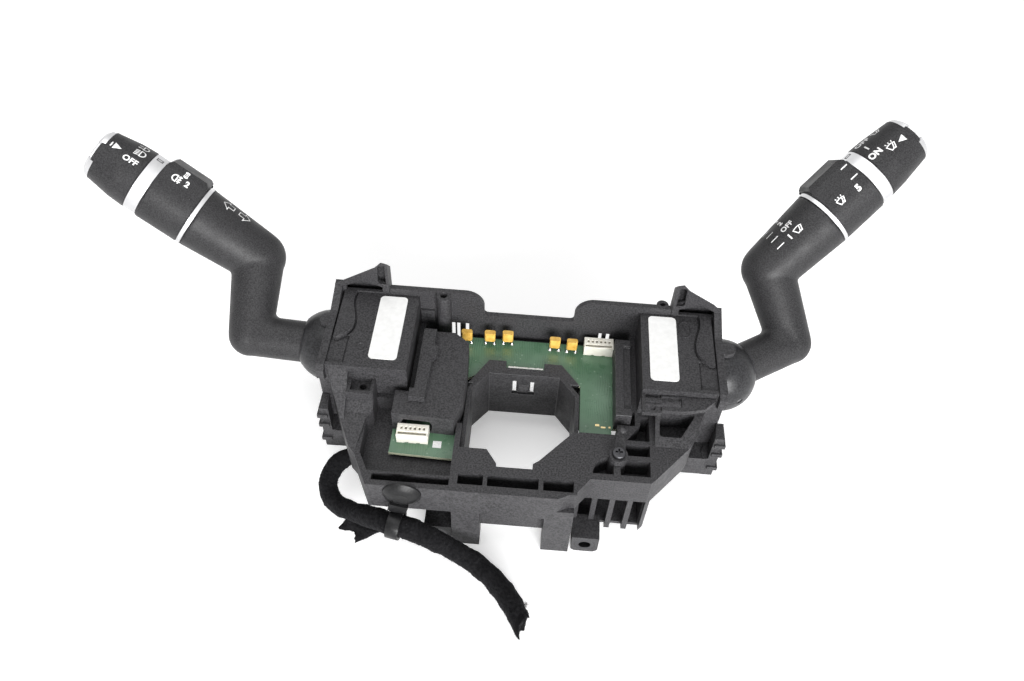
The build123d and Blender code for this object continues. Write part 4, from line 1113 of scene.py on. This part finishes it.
def triangle(size):
    back, half = -size * 0.4, size * 0.5
    corners = [Vector((size * 0.6, 0)), Vector((back, half)), Vector((back, -half))]
    return [(corners, [(0, 1, 2)])]


def tick(length, width=STROKE):
    return [ribbon([(-length / 2, 0), (length / 2, 0)], width)]


def outlined_box(length, width):
    x, y = length / 2, width / 2
    return [ribbon([(-x, -y), (x, -y), (x, y), (-x, y)], 0.5, closed=True)]


def turned_parts(parts, degrees_):
    """The same parts, turned in their own plane."""
    turn = Matrix.Rotation(radians(degrees_), 2)
    return [([turn @ v for v in verts], faces) for verts, faces in parts]


def add_barrel_piece(bm, barrel, name, node_name, body):
    """A form of the lever's own plastic that marks on its node may lie on too."""
    finish = FINISHES["lever_black"]
    piece = finish_bmesh(bm, barrel.side + name, finish, body, smooth=False)
    barrel.added[node_name] = [piece.data]


def make_rib_ramps(barrel):
    """Ramps that run from the finger rib's long edges down into the collar."""
    node_name = barrel.side + "_turn_collar"
    middle = barrel.widest(node_name, BARREL_R + RIB_OUT)
    edge_r = (RIB_EDGE[0] ** 2 + RIB_EDGE[1] ** 2) ** 0.5
    edge_a = atan2(RIB_EDGE[1], RIB_EDGE[0])
    foot_a = edge_a + acos(BARREL_R / edge_r)
    foot_r, back_r = (BARREL_R - depth for depth in RAMP_SUNK)
    corners = [(edge_a, edge_r), (foot_a, foot_r), (edge_a, back_r)]
    deepest = BARREL_R - RAMP_DEEPEST
    start, end = COLLARS[barrel.side]
    stations = [
        (start, RIB_BEVEL), (start + RIB_BEVEL, 0.0),
        (end - RIB_BEVEL, 0.0), (end, RIB_BEVEL),
    ]
    bm = bmesh.new()
    for turn in (-1, 1):
        add_bar(bm, [
            [
                barrel.point(station, middle + turn * a, max(r - inset, deepest))
                for a, r in corners
            ]
            for station, inset in stations
        ])
    add_barrel_piece(bm, barrel, "_rib_ramps", node_name, barrel.side + "_collar")


def make_cap_skirt(barrel):
    """Wall of the cap between its tongues, which leaves only the button's edge in view."""
    corners = [(CAP_ENDS[barrel.side] + s, r) for s, r in SKIRT_SECTION]
    half = radians(60.0 - TONGUE_HALF)
    bm = bmesh.new()
    for k in range(3):
        middle = radians(barrel.tongue_angle() + 60.0 + 120.0 * k)
        angles = [middle + half * (2 * i / SKIRT_STEPS - 1) for i in range(SKIRT_STEPS + 1)]
        add_bar(bm, [[barrel.point(s, angle, r) for s, r in corners] for angle in angles])
    node_name = barrel.side + "_end_cap"
    add_barrel_piece(bm, barrel, "_cap_skirt", node_name, barrel.side + "_cap")


def print_marks(barrel, group, marks):
    """Lay flat marks on the moulding: each is (station, angle in degrees, parts)."""
    node, body, ink = MARKED[group]
    node_name, name = barrel.side + node, barrel.side + group
    bm = bmesh.new()
    for station, degrees_, parts in marks:
        origin = barrel.surface(node_name, station, radians(degrees_))
        middle = barrel.start + barrel.axis * station
        radius = (origin - middle).length
        for verts, faces in parts:
            flat = bmesh.new()
            made = [flat.verts.new((v.x, v.y, 0)) for v in verts]
            for face in faces:
                flat.faces.new([made[i] for i in face])
            cut = min(v.y for v in verts) + FOLD
            high = max(v.y for v in verts)
            while cut < high:
                geometry = flat.verts[:] + flat.edges[:] + flat.faces[:]
                bmesh.ops.bisect_plane(
                    flat, geom=geometry, plane_co=(0, cut, 0), plane_no=(0, 1, 0)
                )
                cut += FOLD
            index = {}
            for vert in flat.verts:
                s = station + barrel.reading * vert.co.x
                phi = radians(degrees_) - barrel.reading * vert.co.y / radius
                index[vert] = bm.verts.new(barrel.surface(node_name, s, phi))
            for face in flat.faces:
                bm.faces.new([index[v] for v in face.verts])
            flat.free()
    add_object(name, mesh_in_metres(bm, name), ink, barrel.side + body)


MARKED = {  # the node and body that carry a group of marks, its ink
    "_cap_marks": ("_end_cap", "_cap", WHITE_INK_AND_SLOT_LIGHT),
    "_band_mark": ("_wide_band", "_lever", PRINT_DARK),
    "_collar_marks": ("_turn_collar", "_collar", WHITE_INK_AND_SLOT_LIGHT),
    "_arm_marks": ("_lever_arm", "_lever", WHITE_INK_AND_SLOT_LIGHT),
}
MARKS = {
    "left": {
        "_cap_marks": [
            (76.4, -5.5, triangle(3.6)),
            (78.9, -6.0, lettering("1", 2.3)),
            (66.9, 7.6, lamp_symbol(3.4, 4)),
            (68.6, -16.6, lettering("OFF", 2.7, bold=0.045)),
            (67.2, 27.0, lamp_symbol(3.2, 2)),
        ],
        "_band_mark": [(59.0, 20.0, outlined_box(2.6, 1.5))],
        "_collar_marks": [
            (48.9, 0.0, turned_parts(lamp_symbol(2.9, 3, wave=True), 180)),
            (43.6, 0.5, lettering("2", 2.6)),
            (46.0, 13.0, barred_symbol(2.8)),
        ],
        "_arm_marks": [
            (23.8, 23.5, turned_parts(block_arrow(5.6, 6.4), 180)),
            (15.4, 24.0, block_arrow(5.6, 6.4)),
        ],
    },
    "right": {
        "_cap_marks": [
            (70.1, -41.0, lettering("OFF", 3.0)),
            (68.7, -18.0, lettering("1", 3.0)),
            (68.6, 3.7, lettering("ON", 3.0)),
            (78.0, -42.0, wiper_symbol(3.4)),
            (76.0, 15.1, wiper_symbol(3.4, 3)),
            (81.6, 16.1, turned_parts(triangle(3.6), 180)),
        ],
        "_band_mark": [(61.4, -40.0, outlined_box(2.6, 1.5))],
        "_collar_marks": [
            (55.5, -41.0, tick(3.4, 0.45)),
            (55.0, -15.7, tick(3.6, 0.55)),
            (54.6, 8.3, tick(3.8, 0.65)),
            (52.2, 27.9, lettering("5", 3.2)),
            (42.8, 25.1, wiper_symbol(3.2, 3)),
        ],
        "_arm_marks": [
            (18.0, -52.0, lettering("3", 2.6)),
            (17.6, -33.0, lettering("2", 2.8)),
            (18.2, -13.8, lettering("OFF", 2.6, bold=0.042)),
            (15.6, 7.4, lettering("1", 2.8)),
            (20.6, 8.5, wiper_symbol(3.4)),
            (10.2, -50.0, tick(4.2, 0.45)),
            (10.4, -31.0, tick(4.2, 0.45)),
            (10.2, -13.0, tick(4.2, 0.5)),
            (9.7, 6.9, tick(4.4, 0.5)),
        ],
    },
}


def dress_lever(side):
    barrel = Barrel(side)
    make_rib_ramps(barrel)
    make_cap_skirt(barrel)
    for group, marks in MARKS[side].items():
        print_marks(barrel, group, marks)


# ---- floor and end
def make_floor():
    bm = bmesh.new()
    signs = [(-1, -1), (1, -1), (1, 1), (-1, 1)]
    bm.faces.new([bm.verts.new((FLOOR_HALF * x, FLOOR_HALF * y, 0)) for x, y in signs])
    bmesh.ops.subdivide_edges(bm, edges=bm.edges, cuts=FLOOR_CUTS, use_grid_fill=True)
    mesh = mesh_in_metres(bm, "floor")
    mesh.materials.append(floor_paint())
    floor = link_object("floor", mesh)
    floor.location.z = -FLOOR_DROP * MM


make_camera()
make_lights()
make_world()
make_floor()
dress_nodes()
make_solder()
make_pads()
make_board_square()
make_latch_slot_light()
make_board_glint()
make_loom()
dress_lever("left")
dress_lever("right")
blend_elbows("left")
blend_elbows("right")
